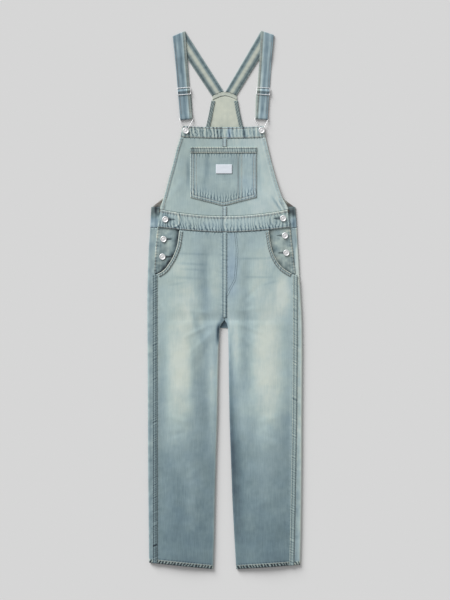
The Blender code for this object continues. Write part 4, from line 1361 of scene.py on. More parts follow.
def buttonhole(along, beside):
    """The dark wedge of a buttonhole that a button pulls open: widest there, then a slit."""
    ends = ease((along + 4) / 5) * ease((26 - along) / 6)
    return ends * bell(beside, np.clip(5.0 - 0.18 * along, 1.2, 5.0))


def make_facing(side):
    y = steps(62, 245, 2.0)[:, None]
    outer, inner = facing_edges(side, y)
    u = outer + (inner - outer) * np.linspace(0, 1, 34)[None]
    rim = np.maximum(u - curve(POCKET_EDGE, side, y), 0)
    shade = {"left": 0.54, "right": 0.64}[side] - 0.15 * ease((110 - y) / 30)
    shade = shade + 0.22 * lattice(SIGN[side] * u, y, 18, 15) + 0.16 * lattice(u, y, 7, 16)
    # Painted shadow under the pocket's rim, deeper on the left, gone above y = 212
    shade = shade - {"left": 0.75, "right": 0.4}[side] * bell(rim, 10) * ease((212 - y) / 14)
    shade = shade + stripes(u - outer, (-6.5, 1.3, -0.2), (0, 1.5, 0.2), (-14, 1.6, -0.1))
    hole = sum(buttonhole(abs(at_x) - u, y - at_y) for at_x, at_y in side_buttons(side))
    shell(
        f"facing_{side}",
        [f"side_facing_{side}"],
        (u, y, surface(side, u, y) - LAYER - HOLE_DEPTH * hole),
        side=side,
        # Painted shade in the buttonholes, darker and browner; the browner tint under the rim is
        # painted shadow too
        tone=shade - 0.8 * hole,
        tint=-1.1 - 1.4 * bell(rim, 10) - 2.5 * hole + 0.8 * lattice(u, y, 13, 94),
        rib=y / 9,
        ribbed=0.5 * bell(u - outer + 2, 6),
    )


def pocket_path(side, count, shift=0.0):
    """Evenly spaced points along the pocket opening, and the direction into the front."""
    ys = np.linspace(POCKET_EDGE["y"][0], RIM_TOP_Y, 400)
    us = curve(POCKET_EDGE, side, ys)
    line = points(us, ys)[us <= RIM_END]
    run = run_length(line)
    stations = np.linspace(0, run[-1], count)
    u, y = along_line(line, run, stations).T
    slope_u = np.gradient(u, stations)
    slope_y = np.gradient(y, stations)
    length = np.hypot(slope_u, slope_y)
    into_u = -slope_y / length
    into_y = slope_u / length
    return u + into_u * shift, y + into_y * shift, into_u, into_y, stations


def make_pocket_rim(side):
    u, y, into_u, into_y, stations = (part[:, None] for part in pocket_path(side, 70))
    across = np.linspace(0, RIM_WIDTH, 11)[None]
    u = u + into_u * across
    y = y + into_y * across
    ripple = ribs(stations + 0.5 * across, 8.0, 47 + (side == "left"))
    shade = 0.56 + stripes(
        across, (0, 2.0, 0.42), (3.6, 1.2, -0.3), (5.8, 1.2, 0.1), (8.6, 1.2, -0.28)
    )
    shell(
        f"pocket_rim_{side}_edge",
        [f"pocket_rim_{side}"],
        (u, y, surface(side, u, y) + LAYER + 0.2 * ripple),
        side=side,
        tone=rubbed(shade, ripple, 0.6),
        tint=-0.8,
        rib=(stations + 0.5 * across) / 7,
        ribbed=0.45 * ease((across - 2) / 2),
    )


def waist_surface(x, y):
    """Middle of a single layer at the waist, on either side."""
    return by_side(x, lambda side: surface(side, np.abs(x), y))


def waist_strip(name, x, share, button=None):
    """One length of the waistband, from its lower to its upper edge, with a button's hole in it."""
    low = waist_line(WAIST_LOW, x) + SEAM / 2
    high = waist_line(WAIST_HIGH, x) - SEAM / 2
    y = low + (high - low) * share
    up = (y - low) / (high - low) * WAISTBAND_DEPTH
    lean = x + 0.15 * up
    ripple = ribs(lean, 11, 51)
    slits = ribs(lean, 6.5, 52) * bell(up - 6, 7) + 0.7 * ripple * bell(up - 14, 14)
    slits = slits + 0.35 * ribs(lean, 8, 53) * bell(up - 38, 6)
    z = waist_surface(x, y) + BAND_RAISE + 0.36 * ripple * np.sin(np.pi * share) ** 0.7
    shade = 0.6 + 0.1 * ease((up - 14) / 12) + 0.05 * ease(x / 60 + 0.5)
    # The dark lines at its foot are its stitching with painted shade under its lower edge
    shade = shade + stripes(
        up, (1.2, 1.4, -0.3), (3.6, 1.1, 0.12), (6, 1.4, -0.26), (39, 1.2, -0.2), (43.5, 1.6, 0.25)
    )
    shade = rubbed(shade, slits, 0.35)
    piping = np.hypot(x + 150, (up - 26) * 1.1)
    left_end = (x > -150) & (x < -118)
    shade = shade + left_end * stripes(piping, (22, 2.2, 0.42), (26, 2.2, -0.42))
    shade = shade - 0.3 * bell(x + 168, 10) * bell(up - 30, 9) - 0.25 * bell(x - 128, 2) * (up < 30)
    shade = shade + stripes(x, (-6.5, 1.9, -0.5), (1, 5, 0.15))
    shade = shade - 0.35 * bell(x, 8) * bell(up - 1.5, 2)
    hole = 0 * z
    if button:
        hole = buttonhole((abs(button[0]) - np.abs(x)) / 1.2, (y - button[1]) / 1.4)
    shell(
        f"{name}_cloth",
        [name],
        (x, y, z - HOLE_DEPTH * hole),
        wall=BAND_WALL,
        # Painted shade in the buttonhole, darker and browner
        tone=shade - 0.8 * hole,
        tint=0.5 * lattice(x, y, 30, 17) - 1.6 * hole,
        rib=(x + 0.1 * up + 6 * lattice(x, up, 22, 95)) / 9,
        ribbed=stripes(up, (7, 8, 0.85), (20, 9, 0.4), (38, 6, 0.6)),
    )


def make_waistband():
    share = np.linspace(0, 1, 17)[:, None]
    x = steps(-WAISTBAND_END["left"], WAISTBAND_END["right"], 2.2)[None, ::-1]
    waist_strip("waistband", x + 0 * share, share)
    for side in SIGN:
        outer = TAB_LOW[side] + (TAB_HIGH[side] - TAB_LOW[side]) * share
        u = outer + (WAISTBAND_END[side] + SEAM - outer) * np.linspace(0, 1, 26)[None]
        x = mirrored(side, SIGN[side] * u)
        waist_strip(f"waist_tab_{side}", x, share, side_buttons(side)[0])


def make_bib_half(side):
    y = steps(WAIST_HIGH["middle"], BAND_LOW_Y, 2.8)[:, None]
    edge = curve(BIB_EDGE, side, y)
    inner = SIGN[side] * MIDDLE_X + SEAM / 2
    hem = np.linspace(0, BIB_HEM + 1, 6)[None]
    start = edge - BIB_HEM - 1
    share = np.linspace(0, 1, 44)[None, 1:]
    u = np.concatenate([edge - hem, start + (inner - start) * share], axis=1)
    near_foot = ease((300 - y) / 62)
    near_band = ease((y - 400) / (BAND_LOW_Y - 400))
    rise = near_foot * (waist_line(WAIST_HIGH, u) - WAIST_HIGH["middle"] + SEAM / 2)
    y = y + rise + near_band * (band_line(0, u) - SEAM / 2)
    x = SIGN[side] * u
    from_edge = bib_edge(x, y) - u
    shade = bib_wash_and_shadow(x, y) + stripes(
        from_edge,
        (0, 1.4, 0.2),
        (3.2, 1.2, -0.26),
        (BIB_HEM + 0.8, 1.5, -0.18),
        (BIB_HEM + 4.5, 1.8, 0.1),
    )
    shade = shade + 0.08 * ribs(y, 5, 35) * (from_edge < BIB_HEM + 2)
    shell(
        f"bib_{side}_cloth",
        [f"bib_{side}"],
        (u, y, bib_surface(x, y)),
        side=side,
        outside=BIB_HEM_EXTRA * ease((BIB_HEM + 0.6 - from_edge) / 1.2),
        tone=rubbed(shade, bib_puckers(x, y), 0.7),
        tint=0.6 * ease((x + 60) / 120) - 0.3 + 0.3 * lattice(x, y, 30, 18),
        rib=y / 8,
        ribbed=0.14 * bell(from_edge - 2, 5),
    )


def make_bib_seams():
    def height(across, y):
        return bib_surface(MIDDLE_X + across, y)

    def shade(across, y):
        return 0.66 + stripes(across, (-4.6, 1.5, -0.5), (-1.5, 1.8, 0.24), (4.4, 1.3, -0.08))

    for name, low, high in (
        ("upper", BIB_POCKET["top"] + 1.0, BAND_LOW_Y - SEAM),
        ("lower", WAIST_HIGH["middle"] + SEAM, BIB_POCKET["point"] - 1.0),
    ):
        y = steps(low, high, 2.0)
        middle_fell(f"bib_seam_{name}", y, height, 55, 0.2, shade, 0.6)


def make_bib_band():
    share = np.linspace(0, 1, 15)[:, None]
    up = (BAND_HIGH_Y - BAND_LOW_Y) * share
    y = BAND_LOW_Y + SEAM / 2 + up
    left = curve(BIB_EDGE, "left", y + BAND_RISE)
    right = curve(BIB_EDGE, "right", y + BAND_RISE)
    x = right + (-left - right) * np.linspace(0, 1, 106)[None]
    ripple = ribs(x + 0.15 * y, 11.5, 57)
    shade = 0.62 + 0.12 * ease(x / 80 + 0.4)
    shade = shade + stripes(
        up, (0, 1.6, 0.22), (3.4, 1.2, -0.16), (26.5, 1.2, 0.15), (29.5, 1.6, -0.34)
    )
    shade = shade + stripes(
        x, (-19, 1.6, -0.4), (-10.5, 2.6, -0.6), (0, 8, 0.16), (13, 4, -0.25)
    )
    top_ripple = 0.5 * ribs(x - 0.2 * y, 6, 58) * bell(up - 26, 5)
    ribbed = (0.85 - 0.35 * ease(x / 60 + 0.4)) * (1 - 0.4 * bell(up, 5))
    shell(
        "bib_band_cloth",
        ["bib_band"],
        (
            x,
            band_line(y, x),
            bib_height(x, y) + BAND_RAISE + 0.36 * ripple * np.sin(np.pi * share) ** 0.6,
        ),
        wall=BAND_WALL,
        tone=rubbed(shade, ripple + top_ripple, 1.1),
        tint=0.6 * ease(x / 60 + 0.5) - 0.7 + 2.2 * bell(x - 13, 6),
        rib=(x + 0.08 * up) / 10.5,
        ribbed=ribbed * (1 - 0.8 * bell(x + 3, 14)),
    )


def pocket_puckers(x, y):
    """Ripples of the bib pocket along its stitching; tall narrow ones stand on its pointed foot."""
    foot = np.maximum(y - pocket_bottom(x) - 14, 0)
    side = np.minimum(x - BIB_POCKET["left"], BIB_POCKET["right"] - x)
    total = 0.9 * pucker(x + 0.2 * y, foot, 7.5, 11, 61)
    total = total + 0.5 * pucker(y + 0.3 * x, np.maximum(side - 12, 0), 10, 6, 62)
    total = total + 0.8 * pucker(x, np.maximum(POCKET_HEM_Y - 6 - y, 0), 10, 6, 63)
    return total + line_sum(POCKET_PULLS, "height", x, y)


def make_bib_pocket():
    x = steps(BIB_POCKET["left"], BIB_POCKET["right"], 2.6)[None, ::-1]
    low = pocket_bottom(x)
    y = low + (POCKET_HEM_Y - SEAM - low) * np.linspace(0, 1, 58)[:, None]
    x = x + 0 * y
    edge = np.minimum(np.minimum(x - BIB_POCKET["left"], BIB_POCKET["right"] - x), y - low)
    puckered = pocket_puckers(x, y)
    shade = 0.6 + 0.06 * lattice(x, y, 30, 12) + 0.04 * lattice(x, y, 12, 13)
    # Paler from x = 44 to the right; the dark strip near x = -50 in the upper pocket is painted
    # shade in its pleat
    shade = shade + 0.08 * ease((x - 44) / 10) - 0.12 * bell(x + 50, 7) * ease((y - 330) / 40)
    shade = shade + stripes(
        edge, (0, 1.7, 0.3), (4.4, 1.5, -0.4), (7.5, 1.6, 0.3), (10.8, 1.6, -0.34)
    )
    foot = bell(np.maximum(y - low - 14, 0), 15) * (0.35 + 0.65 * ease((y - low - 9) / 5))
    shell(
        "bib_pocket_cloth",
        ["bib_pocket"],
        (x, y, bib_surface(x, y) + LAYER + 0.15 * puckered),
        tone=rubbed(shade, puckered, 0.5),
        tint=0.9 * ease((x - 44) / 10) - 0.3 + 0.4 * lattice(x, y, 26, 19),
        rib=x / 8,
        ribbed=0.9 * foot + 0.5 * bell(POCKET_HEM_Y - 4 - y, 7),
    )


def make_pocket_hem():
    share = np.linspace(0, 1, 11)[:, None]
    up = share * POCKET_HEM_DEPTH
    x = steps(BIB_POCKET["left"], BIB_POCKET["right"], 2.2)[None, ::-1] + 0 * share
    y = POCKET_HEM_Y + up + 0 * x
    ripple = ribs(x + 0.15 * y, 8.5, 65)
    bulge = 0.3 * ripple * np.sin(np.pi * share) ** 0.6
    shade = 0.6 + stripes(
        up, (1.6, 1.5, 0.25), (5, 1.4, -0.2), (13.6, 1.4, -0.26), (17, 1.4, 0.34)
    )
    shell(
        "bib_pocket_hem_cloth",
        ["bib_pocket_hem"],
        (x, y, bib_surface(x, y) + LAYER + BAND_RAISE + bulge),
        wall=BAND_WALL,
        tone=rubbed(shade, ripple, 0.8) - 0.3 * bell(x - BIB_POCKET["left"] - 8, 7),
        tint=-1.6 + 0.8 * ease(x / 60 + 0.5),
        rib=(x + 0.15 * y) / 6.5,
        ribbed=0.45,
    )


def make_label():
    over_pocket = LAYER + WALL / 2 + LAP_GAP + 0.1 + LABEL_WALL / 2
    x = steps(LABEL["left"], LABEL["right"], 1.5)[None, ::-1]
    y = steps(LABEL["bottom"], LABEL["top"], 1.5)[:, None]
    shell(
        "label_cloth",
        ["pocket_label"],
        (x, y, bib_surface(x, y) + over_pocket),
        wall=LABEL_WALL,
        finish="blank label",
    )


def back_side(side, y):
    """One side of the back above the waist: round the outer fold while it has one, then on top."""
    wrap_u, wrap_z = outer_turn(side, y)
    narrow = (y > BACK_CORNER_Y) & (np.arange(wrap_u.shape[1]) == 0)[None]
    wrap_u = np.where(narrow, curve(BACK_EDGE, side, y), wrap_u)
    wrap_z = np.where(narrow, FLOOR, wrap_z)
    top_u = wrap_u[:, -1:] + (STAND_EDGE[side] - wrap_u[:, -1:]) * np.linspace(0, 1, 10)[None, 1:]
    under = np.minimum(y, BIB_FOOT_Y)
    fade = ease((wrap_u[:, -1:] - top_u) / 6)
    top_z = front_height(side, top_u, under) - opening_sink(y) + relief(side, top_u, under) * fade
    return np.concatenate([wrap_u, top_u], axis=1), np.concatenate([wrap_z, top_z], axis=1)


def make_back_bib():
    low = BACK_TOP_Y + SEAM / 2
    above_corner = steps(BACK_CORNER_Y, BACK_LAST_Y, 4)[1:]
    ys = np.concatenate([steps(low, BACK_CORNER_Y, 3), above_corner])
    y = ys[:, None]
    left_u, left_z = (part[:, ::-1] for part in back_side("left", y))
    right_u, right_z = back_side("right", y)
    share = np.linspace(0, 1, 46)[None, 1:-1]
    middle = -left_u[:, -1:] + (right_u[:, :1] + left_u[:, -1:]) * share
    x = np.concatenate([-left_u, middle, right_u], axis=1)
    bump = np.maximum(0.35 + 0.35 * lattice(middle, y, 30, 71), 0) * ease((y - 480) / 40)
    near_top = ease((y - 520) / (BACK_LAST_Y - 520))
    y = y + near_top * (yoke_arch(x) - YOKE_BAND - SEAM - BACK_LAST_Y)
    # Painted shadow at the top of each side opening, darker and browner, and a dark line where the
    # facing's edge shades the button stand
    corner = ease((y - 226) / 24) * ease((BACK_HEM_LOW_Y - y) / 20)
    waist_tone = 0.56 - 0.42 * corner + 0.28 * lattice(x, y, 9, 79) - 0.3 * bell(np.abs(x) - 196, 3)
    tone = 0.66 + 0.1 * lattice(x, y, 9, 72) + 0.08 * lattice(x, y, 22, 73)
    tone = tone + 0.2 * ease((y - 470) / 60)
    cells = np.ones((len(ys) - 1, x.shape[1] - 1), bool)
    side_cells = left_u.shape[1] - 1
    cells[-len(above_corner) :, :side_cells] = False
    cells[-len(above_corner) :, -side_cells:] = False
    shell(
        "back_bib_cloth",
        ["back_bib"],
        (x, y, np.concatenate([left_z, FLOOR + bump, right_z], axis=1)),
        undyed=(0.0, ease((ys[:, None] - 250) / 30)),
        tone=np.where(y < BACK_HEM_LOW_Y, waist_tone, tone),
        # Browner in the painted shadow at the corners
        tint=1.2 - 3.6 * corner,
        cells=cells,
    )


def make_back_hem(side):
    y = steps(BACK_HEM_LOW_Y, BACK_LAST_Y + 0.5, 3)[:, None]
    slope = (curve(BACK_EDGE, side, y + 1) - curve(BACK_EDGE, side, y - 1)) / 2
    length = np.hypot(1, slope)
    across = np.linspace(0.3, BACK_HEM, 9)[None]
    ripple = ribs(y + across, 6, 74)
    u = curve(BACK_EDGE, side, y) - across / length
    shell(
        f"back_hem_{side}_cloth",
        [f"back_hem_{side}"],
        (u, y + across * slope / length, FLOOR + LAYER + 0.15 * ripple + 0.15),
        side=side,
        tone=0.1 + stripes(across, (5, 1.2, 0.3), (10, 1.2, 0.3)) + 0.1 * ripple,
        tint=-2.2,
        rib=(y + 0.8 * across) / 8,
        ribbed=-0.45,
    )


def make_yoke_band():
    across = np.linspace(YOKE_BAND, 0, 15)[:, None]
    x = np.linspace(YOKE_HALF, -YOKE_HALF, 50)[None]
    shade = 0.66 + 0.1 * lattice(x, across, 5, 77)
    shade = shade + stripes(across, (7, 1.4, 0.16), (9.4, 1.1, -0.22))
    dashes = np.sin(x / 2.4 + 2 * lattice(x, across, 9, 78)) > -0.3
    shell(
        "yoke_band_cloth",
        ["yoke_band"],
        (x, yoke_arch(x) - across, BAND_WALL / 2),
        wall=BAND_WALL,
        undyed=(1.0, 1.0),
        tone=shade - 0.4 * bell(across - 1.2, 1.2) * dashes,
    )


def strap_edges(side, y):
    """Outer and inner edge of the strap's front run at the heights y of its middle."""
    fold_a, fold_b = (np.array(point) for point in STRAP[side]["fold"])
    fold = (fold_a + fold_b) / 2
    end = np.array(STRAP[side]["end"])
    y = np.asarray(y, float)[..., None]
    middle = end + (fold - end) * (y - end[1]) / (fold[1] - end[1])
    run = (fold - end) / np.linalg.norm(fold - end)
    square = np.array((run[1], -run[0])) * SIGN[side] * STRAP_HALF
    skew = ease((y - fold[1] + FOLD_SKEW) / FOLD_SKEW)
    outward = square + ((fold_a - fold_b) / 2 - square) * skew
    return middle + outward, middle - outward


def buckle_bar_y(side):
    return STRAP[side]["end"][1] + LOOP_RADIUS + STRAP_WALL / 2


def strap_rows(side, share):
    """Rows of points across the ribbon, from yoke to end, and how many lie on the back run."""
    fold_a, fold_b = (np.array(point) for point in STRAP[side]["fold"])
    outer, inner = YOKE_STRAP[side]
    x = SIGN[side] * (outer + (inner - outer) * share[:, 0])
    start = points(x, yoke_arch(x) + 2 * SEAM)
    ends = fold_a + (fold_b - fold_a) * share
    low = STRAP_WALL / 2
    rows = [(start + (ends - start) * t, low) for t in steps(0, 0.97, 0.011)]
    back_rows = len(rows)
    along = (fold_b - fold_a) / np.linalg.norm(fold_b - fold_a)
    away = np.array((-along[1], along[0]))
    away = -away if away[1] < 0 else away
    for angle in np.radians(np.linspace(0, 180, 9)):
        lift = FOLD_RADIUS * (1 - math.cos(angle))
        rows.append((ends + away * FOLD_RADIUS * math.sin(angle), low + lift))

    def across(y):
        a, b = strap_edges(side, y)
        return a + (b - a) * share

    down = np.concatenate([steps(526, 582, 2.5), steps(583, 605, 1.0), steps(607, 740, 2.5)])[::-1]
    rows += [(across(y), straight(STRAP_Z, "z", y)) for y in down]
    for angle in np.radians(np.linspace(90, -90, 9)):
        at_y = buckle_bar_y(side) - LOOP_RADIUS * math.cos(angle)
        rows.append((across(at_y), LOOP_RADIUS + low + LOOP_RADIUS * math.sin(angle)))
    for y in steps(528, 594.5, 2.5):
        slipped = np.array((-SIGN[side] * straight(STRAP_TAIL, "shift", y), 0))
        rows.append((across(y) + slipped, straight(STRAP_TAIL, "z", y)))
    return np.array([points(*place.T, z) for place, z in rows]), back_rows


def make_strap(side):
    """One ribbon: yoke, shoulder fold, slider, round the buckle's bar and back up under itself."""
    share = np.linspace(0, 1, 25)[:, None]
    grid, back_rows = strap_rows(side, share)
    run = run_length(grid[:, len(share) // 2])[:, None]
    across = share.T
    seed = 81 + (side == "left")
    inner_edge = across > 0.78
    tone = {"left": 0.4, "right": 0.5}[side] + stripes(across, *zip(*STRAP_LINES.values()))
    tone = tone + (0.1 * ribs(run, 5, seed) - 0.06) * inner_edge
    tone = tone + 0.12 * lattice(11 * across, run / 30, 1, seed)
    tone = tone + 0.06 * lattice(3 * across, run / 12, 1, seed + 5)
    back_tone = 0.2 + stripes(across, *zip(*BACK_RUN_LINES.values()))
    back_tone = back_tone + 0.09 * lattice(run, 9 * across, 4, seed + 9)
    back = np.arange(len(grid))[:, None] < back_rows
    cream = ease((across - 0.3) / 0.05) * ease((0.68 - across) / 0.05) * back
    shell(
        f"strap_{side}_cloth",
        [f"strap_{side}"],
        np.moveaxis(grid, -1, 0),
        wall=STRAP_WALL,
        tone=np.where(back, back_tone, tone),
        tint=np.where(back, -0.9 - 1.0 * (across < 0.3), np.where(inner_edge, -2.2, 0.8)),
        undyed=(cream, cream),
    )


def strap_frame(side, y):
    """Middle of the strap at y, directions across it, outwards, and down it, and half its width."""
    a, b = strap_edges(side, y)
    across = (a - b) / np.linalg.norm(a - b)
    down = np.array((across[1], -across[0])) * SIGN[side]
    if down[1] > 0:
        down = -down
    return (a + b) / 2, across, down, np.linalg.norm(a - b) / 2


def as_metal(obj, *nodes):
    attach(obj, "root")
    if nodes:
        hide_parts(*nodes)
    return obj


def make_slider(side):
    middle, across, down, half = strap_frame(side, (SLIDER_TOP_Y + SLIDER_LOW_Y) / 2)
    half_width = half + CLEAR + 0.2 + WIRE
    half_height = (SLIDER_TOP_Y - SLIDER_LOW_Y) / 2
    z_top = STRAP_WALL + CLEAR + WIRE
    z_low = SLIDER_STRAP_Z + STRAP_WALL / 2 + CLEAR + WIRE
    corner = SLIDER_CORNER
    path = []
    for turn_x, turn_y, start in ((1, -1, 90), (1, 1, 0), (-1, 1, -90), (-1, -1, 180)):
        for angle in np.radians(start - 15 * np.arange(7)):
            side_way = turn_x * (half_width - corner) + corner * math.cos(angle)
            down_way = turn_y * (half_height - corner) - corner * math.sin(angle)
            t = (down_way + half_height) / (2 * half_height)
            place = middle + across * side_way + down * down_way
            path.append((*place, z_top + (z_low - z_top) * t))
    metal = look("polished metal")
    as_metal(sweep(f"slider_{side}_ring", path, WIRE, metal), f"slider_{side}")
    reach = across * half_width
    ends = [(*place, (z_top + z_low) / 2) for place in (middle - reach, middle + reach)]
    as_metal(sweep(f"slider_{side}_bar", ends, WIRE * 0.9, metal, closed=False))


def make_buckle(side):
    """A bent wire: a bar in the strap's loop, sides that draw together, an eye round the button."""
    middle, across, down, half = strap_frame(side, buckle_bar_y(side))
    button = np.array(BIB_BUTTON[side])
    bar_half = half + CLEAR + 0.8 + BUCKLE_WIRE
    eye = NECK_RADIUS + CLEAR + BUCKLE_WIRE
    low = STRAP_WALL / 2 + LOOP_RADIUS
    high = button_base(*button) + CLEAR + BUCKLE_WIRE
    run = np.linalg.norm(button - middle)
    ahead = (button - middle) / run
    beside = np.array((-ahead[1], ahead[0]))
    beside = -beside if np.dot(beside, across) < 0 else beside
    right = [
        (bar_half - 1.9, 0.0, low),
        (bar_half - 0.5, 0.6, low),
        (bar_half, 2.2, low + 0.2),
        (bar_half - 0.9, 6.0, low + 1.2),
        (bar_half * 0.62, run * 0.5, high),
        (eye + 0.5, run * 0.86, high),
        (eye, run, high),
    ]
    round_eye = [
        (eye * math.cos(angle), run - eye * math.sin(angle), high)
        for angle in np.radians((-30, -60, -90, -120, -150))
    ]
    back_up = [(-a, b, z) for a, b, z in reversed(right)]
    path = []
    for side_way, ahead_way, z in [(0.0, 0.0, low), *right, *round_eye, *back_up]:
        blend = ease(ahead_way / BUCKLE_BEND)
        sideways = across * (1 - blend) + beside * blend
        onward = down * (1 - blend) + ahead * blend
        path.append((*(middle + sideways * side_way + onward * ahead_way), z))
    wire = sweep(f"buckle_{side}_wire", path, BUCKLE_WIRE, look("polished metal"))
    as_metal(wire, f"buckle_{side}")


def button_base(x, y):
    """Top of the bib's band under a button."""
    return float(bib_height(x, min(y, BAND_HIGH_Y))) + BAND_WALL - WALL / 2


def make_button(node, x, y, base, neck):
    """A tack button: a neck, and a cap with a rounded rim round a dished face."""
    top = neck + BUTTON_WALL
    rim = BUTTON_RADIUS
    profile = [
        (0.02, 0),
        (NECK_RADIUS, 0),
        (NECK_RADIUS, neck),
        (rim - 1.2, neck + 0.05),
        (rim - 0.35, neck + 0.35),
        (rim, neck + 1.0),
        (rim - 0.2, neck + 1.7),
        (rim - 0.8, top - 0.15),
        (rim - 1.4, top),
        (rim - 2.0, top - 0.12),
        (rim - 2.5, top - 0.5),
        (rim - 3.2, top - 0.68),
        (3.2, top - 0.7),
        (2.6, top - 0.55),
        (1.6, top - 0.35),
        (0.02, top - 0.3),
    ]
    cap = lathe(f"{node}_cap", x, y, base + CLEAR + 0.1, profile, look("polished metal"))
    as_metal(cap, node)


def make_buttons(side):
    x, y = BIB_BUTTON[side]
    make_button(f"bib_button_{side}", x, y, button_base(x, y), 2 * BUCKLE_WIRE + CLEAR)
    for number, (x, y) in enumerate(side_buttons(side), 1):
        rise = BAND_WALL - WALL / 2 if number == 1 else WALL / 2 - LAYER
        base = float(front_height(side, abs(x), y)) + rise
        make_button(f"side_button_{side}_{number}", x, y, base, SIDE_NECK)


# Stitching


def on_front(side, u, y, over=WALL / 2):
    """Points on the front's face, that much over the middle of its layer."""
    u, y = paired(u, y)
    return points(SIGN[side] * u, leaned(side, u, y), surface(side, u, y) + over)


def on_bib(x, y, over):
    x, y = paired(x, y)
    return points(x, y, bib_surface(x, y) + over)


def stitch_legs():
    lines = []
    hems = []
    for side in SIGN:
        y = steps(HEM_Y + 1, 70, 4)
        for shift in (-4.9, 4.9):
            lines.append(on_front(side, straight(OUTSEAM, side, y) + shift, y, LAYER + WALL / 2))
        u = steps(straight(INSIDE, side, HEM_Y) + 4, straight(OUTSEAM, side, HEM_Y) - 8, 4)
        hems.append(on_front(side, u, HEM_Y + HEM_DEPTH - 1))
    y = steps(-46, WAIST_LOW["middle"] - 2, 4)
    z = middle_surface(y) + LAYER + WALL / 2 + relief("right", 1 + 0 * y, y)
    lines += [points(MIDDLE_X + shift, y, z) for shift in (-4.5, 4.5)]
    thread("seam_stitches", lines, look("dark thread"))
    thread("hem_stitches", hems, look("pale thread"), radius=0.5)
    run = run_length(FLY)
    u, y = along_line(FLY, run, steps(0, run[-1], 4)).T
    fly = [on_front("right", u, y), on_front("right", u - 5, y + 1.5)]
    thread("fly_stitches", fly, look("dark thread"))


def stitch_pockets():
    lines = []
    for side in SIGN:
        for shift in (2.0, 8.2):
            u, y, _, _, _ = pocket_path(side, 60, shift)
            lines.append(on_front(side, u, y, LAYER + WALL / 2 + 0.1))
        y = steps(80, 240, 4)
        u = facing_edges(side, y)[0] - 3
        lines.append(points(SIGN[side] * u, y, surface(side, u, y) - LAYER + WALL / 2))
    thread("pocket_stitches", lines, look("tan thread"))


def stitch_waist():
    lines = []
    for low, high in (
        (-WAISTBAND_END["left"] + 2, WAISTBAND_END["right"] - 2),
        (-TAB_LOW["left"] + 3, -WAISTBAND_END["left"] - 2),
        (WAISTBAND_END["right"] + 2, TAB_LOW["right"] - 3),
    ):
        x = steps(low, high, 3)
        for line, shift in ((WAIST_LOW, 2.5), (WAIST_HIGH, -2.5), (WAIST_HIGH, -6.0)):
            y = waist_line(line, x) + shift
            lines.append(points(x, y, waist_surface(x, y) + BAND_RAISE + BAND_WALL / 2 + 0.1))
    thread("waist_stitches", lines, look("tan thread"))


def stitch_bib():
    lines = []
    for side in SIGN:
        y = steps(WAIST_HIGH["middle"] + 8, BAND_LOW_Y, 4)
        x = SIGN[side] * (curve(BIB_EDGE, side, y) - BIB_HEM + 1.5)
        lines.append(on_bib(x, y, WALL / 2 + BIB_HEM_EXTRA))
    left, right = (curve(BIB_EDGE, side, BAND_LOW_Y) - 3 for side in SIGN)
    x = steps(-left, right, 3)
    for y in (BAND_LOW_Y + 3, BAND_HIGH_Y - 3):
        z = bib_height(x, y) + BAND_RAISE + BAND_WALL / 2 + 0.15
        lines.append(points(x, band_line(y, x), z))
    for low, high in (
        (BIB_POCKET["top"] + 2, BAND_LOW_Y - 1),
        (WAIST_HIGH["middle"] + 2, BIB_POCKET["point"] - 2),
    ):
        for shift in (-4.5, 4.5):
            y = steps(low, high, 3)
            lines.append(on_bib(MIDDLE_X + shift, y, LAYER + WALL / 2 + 0.1))
    thread("bib_stitches", lines, look("tan thread"))


def stitch_bib_pocket():
    left = BIB_POCKET["left"]
    right = BIB_POCKET["right"]
    on_pocket = LAYER + WALL / 2
    lines = []
    for inset in (2.2, 8.5):
        x = steps(left + inset, right - inset, 3)
        lines.append(on_bib(x, pocket_bottom(x) + inset * 1.05, on_pocket))
        for at_x in (left + inset, right - inset):
            y = steps(float(pocket_bottom(at_x)) + inset, POCKET_HEM_Y, 3)
            lines.append(on_bib(at_x, y, on_pocket))
    for at_x in (left + 17.0, 38.0, 48.8):
        y = steps(float(pocket_bottom(at_x)) + 9, POCKET_HEM_Y, 3)
        lines.append(on_bib(at_x, y, on_pocket))
    x = steps(left + 1, right - 1, 3)
    for inset in (3.0, POCKET_HEM_DEPTH - 3.0):
        lines.append(on_bib(x, POCKET_HEM_Y + inset, on_pocket + 2 * BAND_RAISE + 0.1))
    thread("bib_pocket_stitches", lines, look("tan thread"))


def stitch_straps():
    lines = []
    y = steps(530, 738, 4)
    z = straight(STRAP_Z, "z", y) + STRAP_WALL / 2
    for side in SIGN:
        a, b = strap_edges(side, y)
        lines += [np.column_stack([a + (b - a) * share, z]) for share in (0.12, 0.88)]
    thread("strap_stitches", lines, look("tan thread"))


# Stage

FLOOR_HALF = 30000.0
FLOOR_Z = -0.3
LENS = 85
SENSOR = 36
VIEW_HEIGHT = 1.71  # metres of the floor that the picture shows
CAMERA_X = 0.00086
KEY_TURN = (-48, -50, 0)


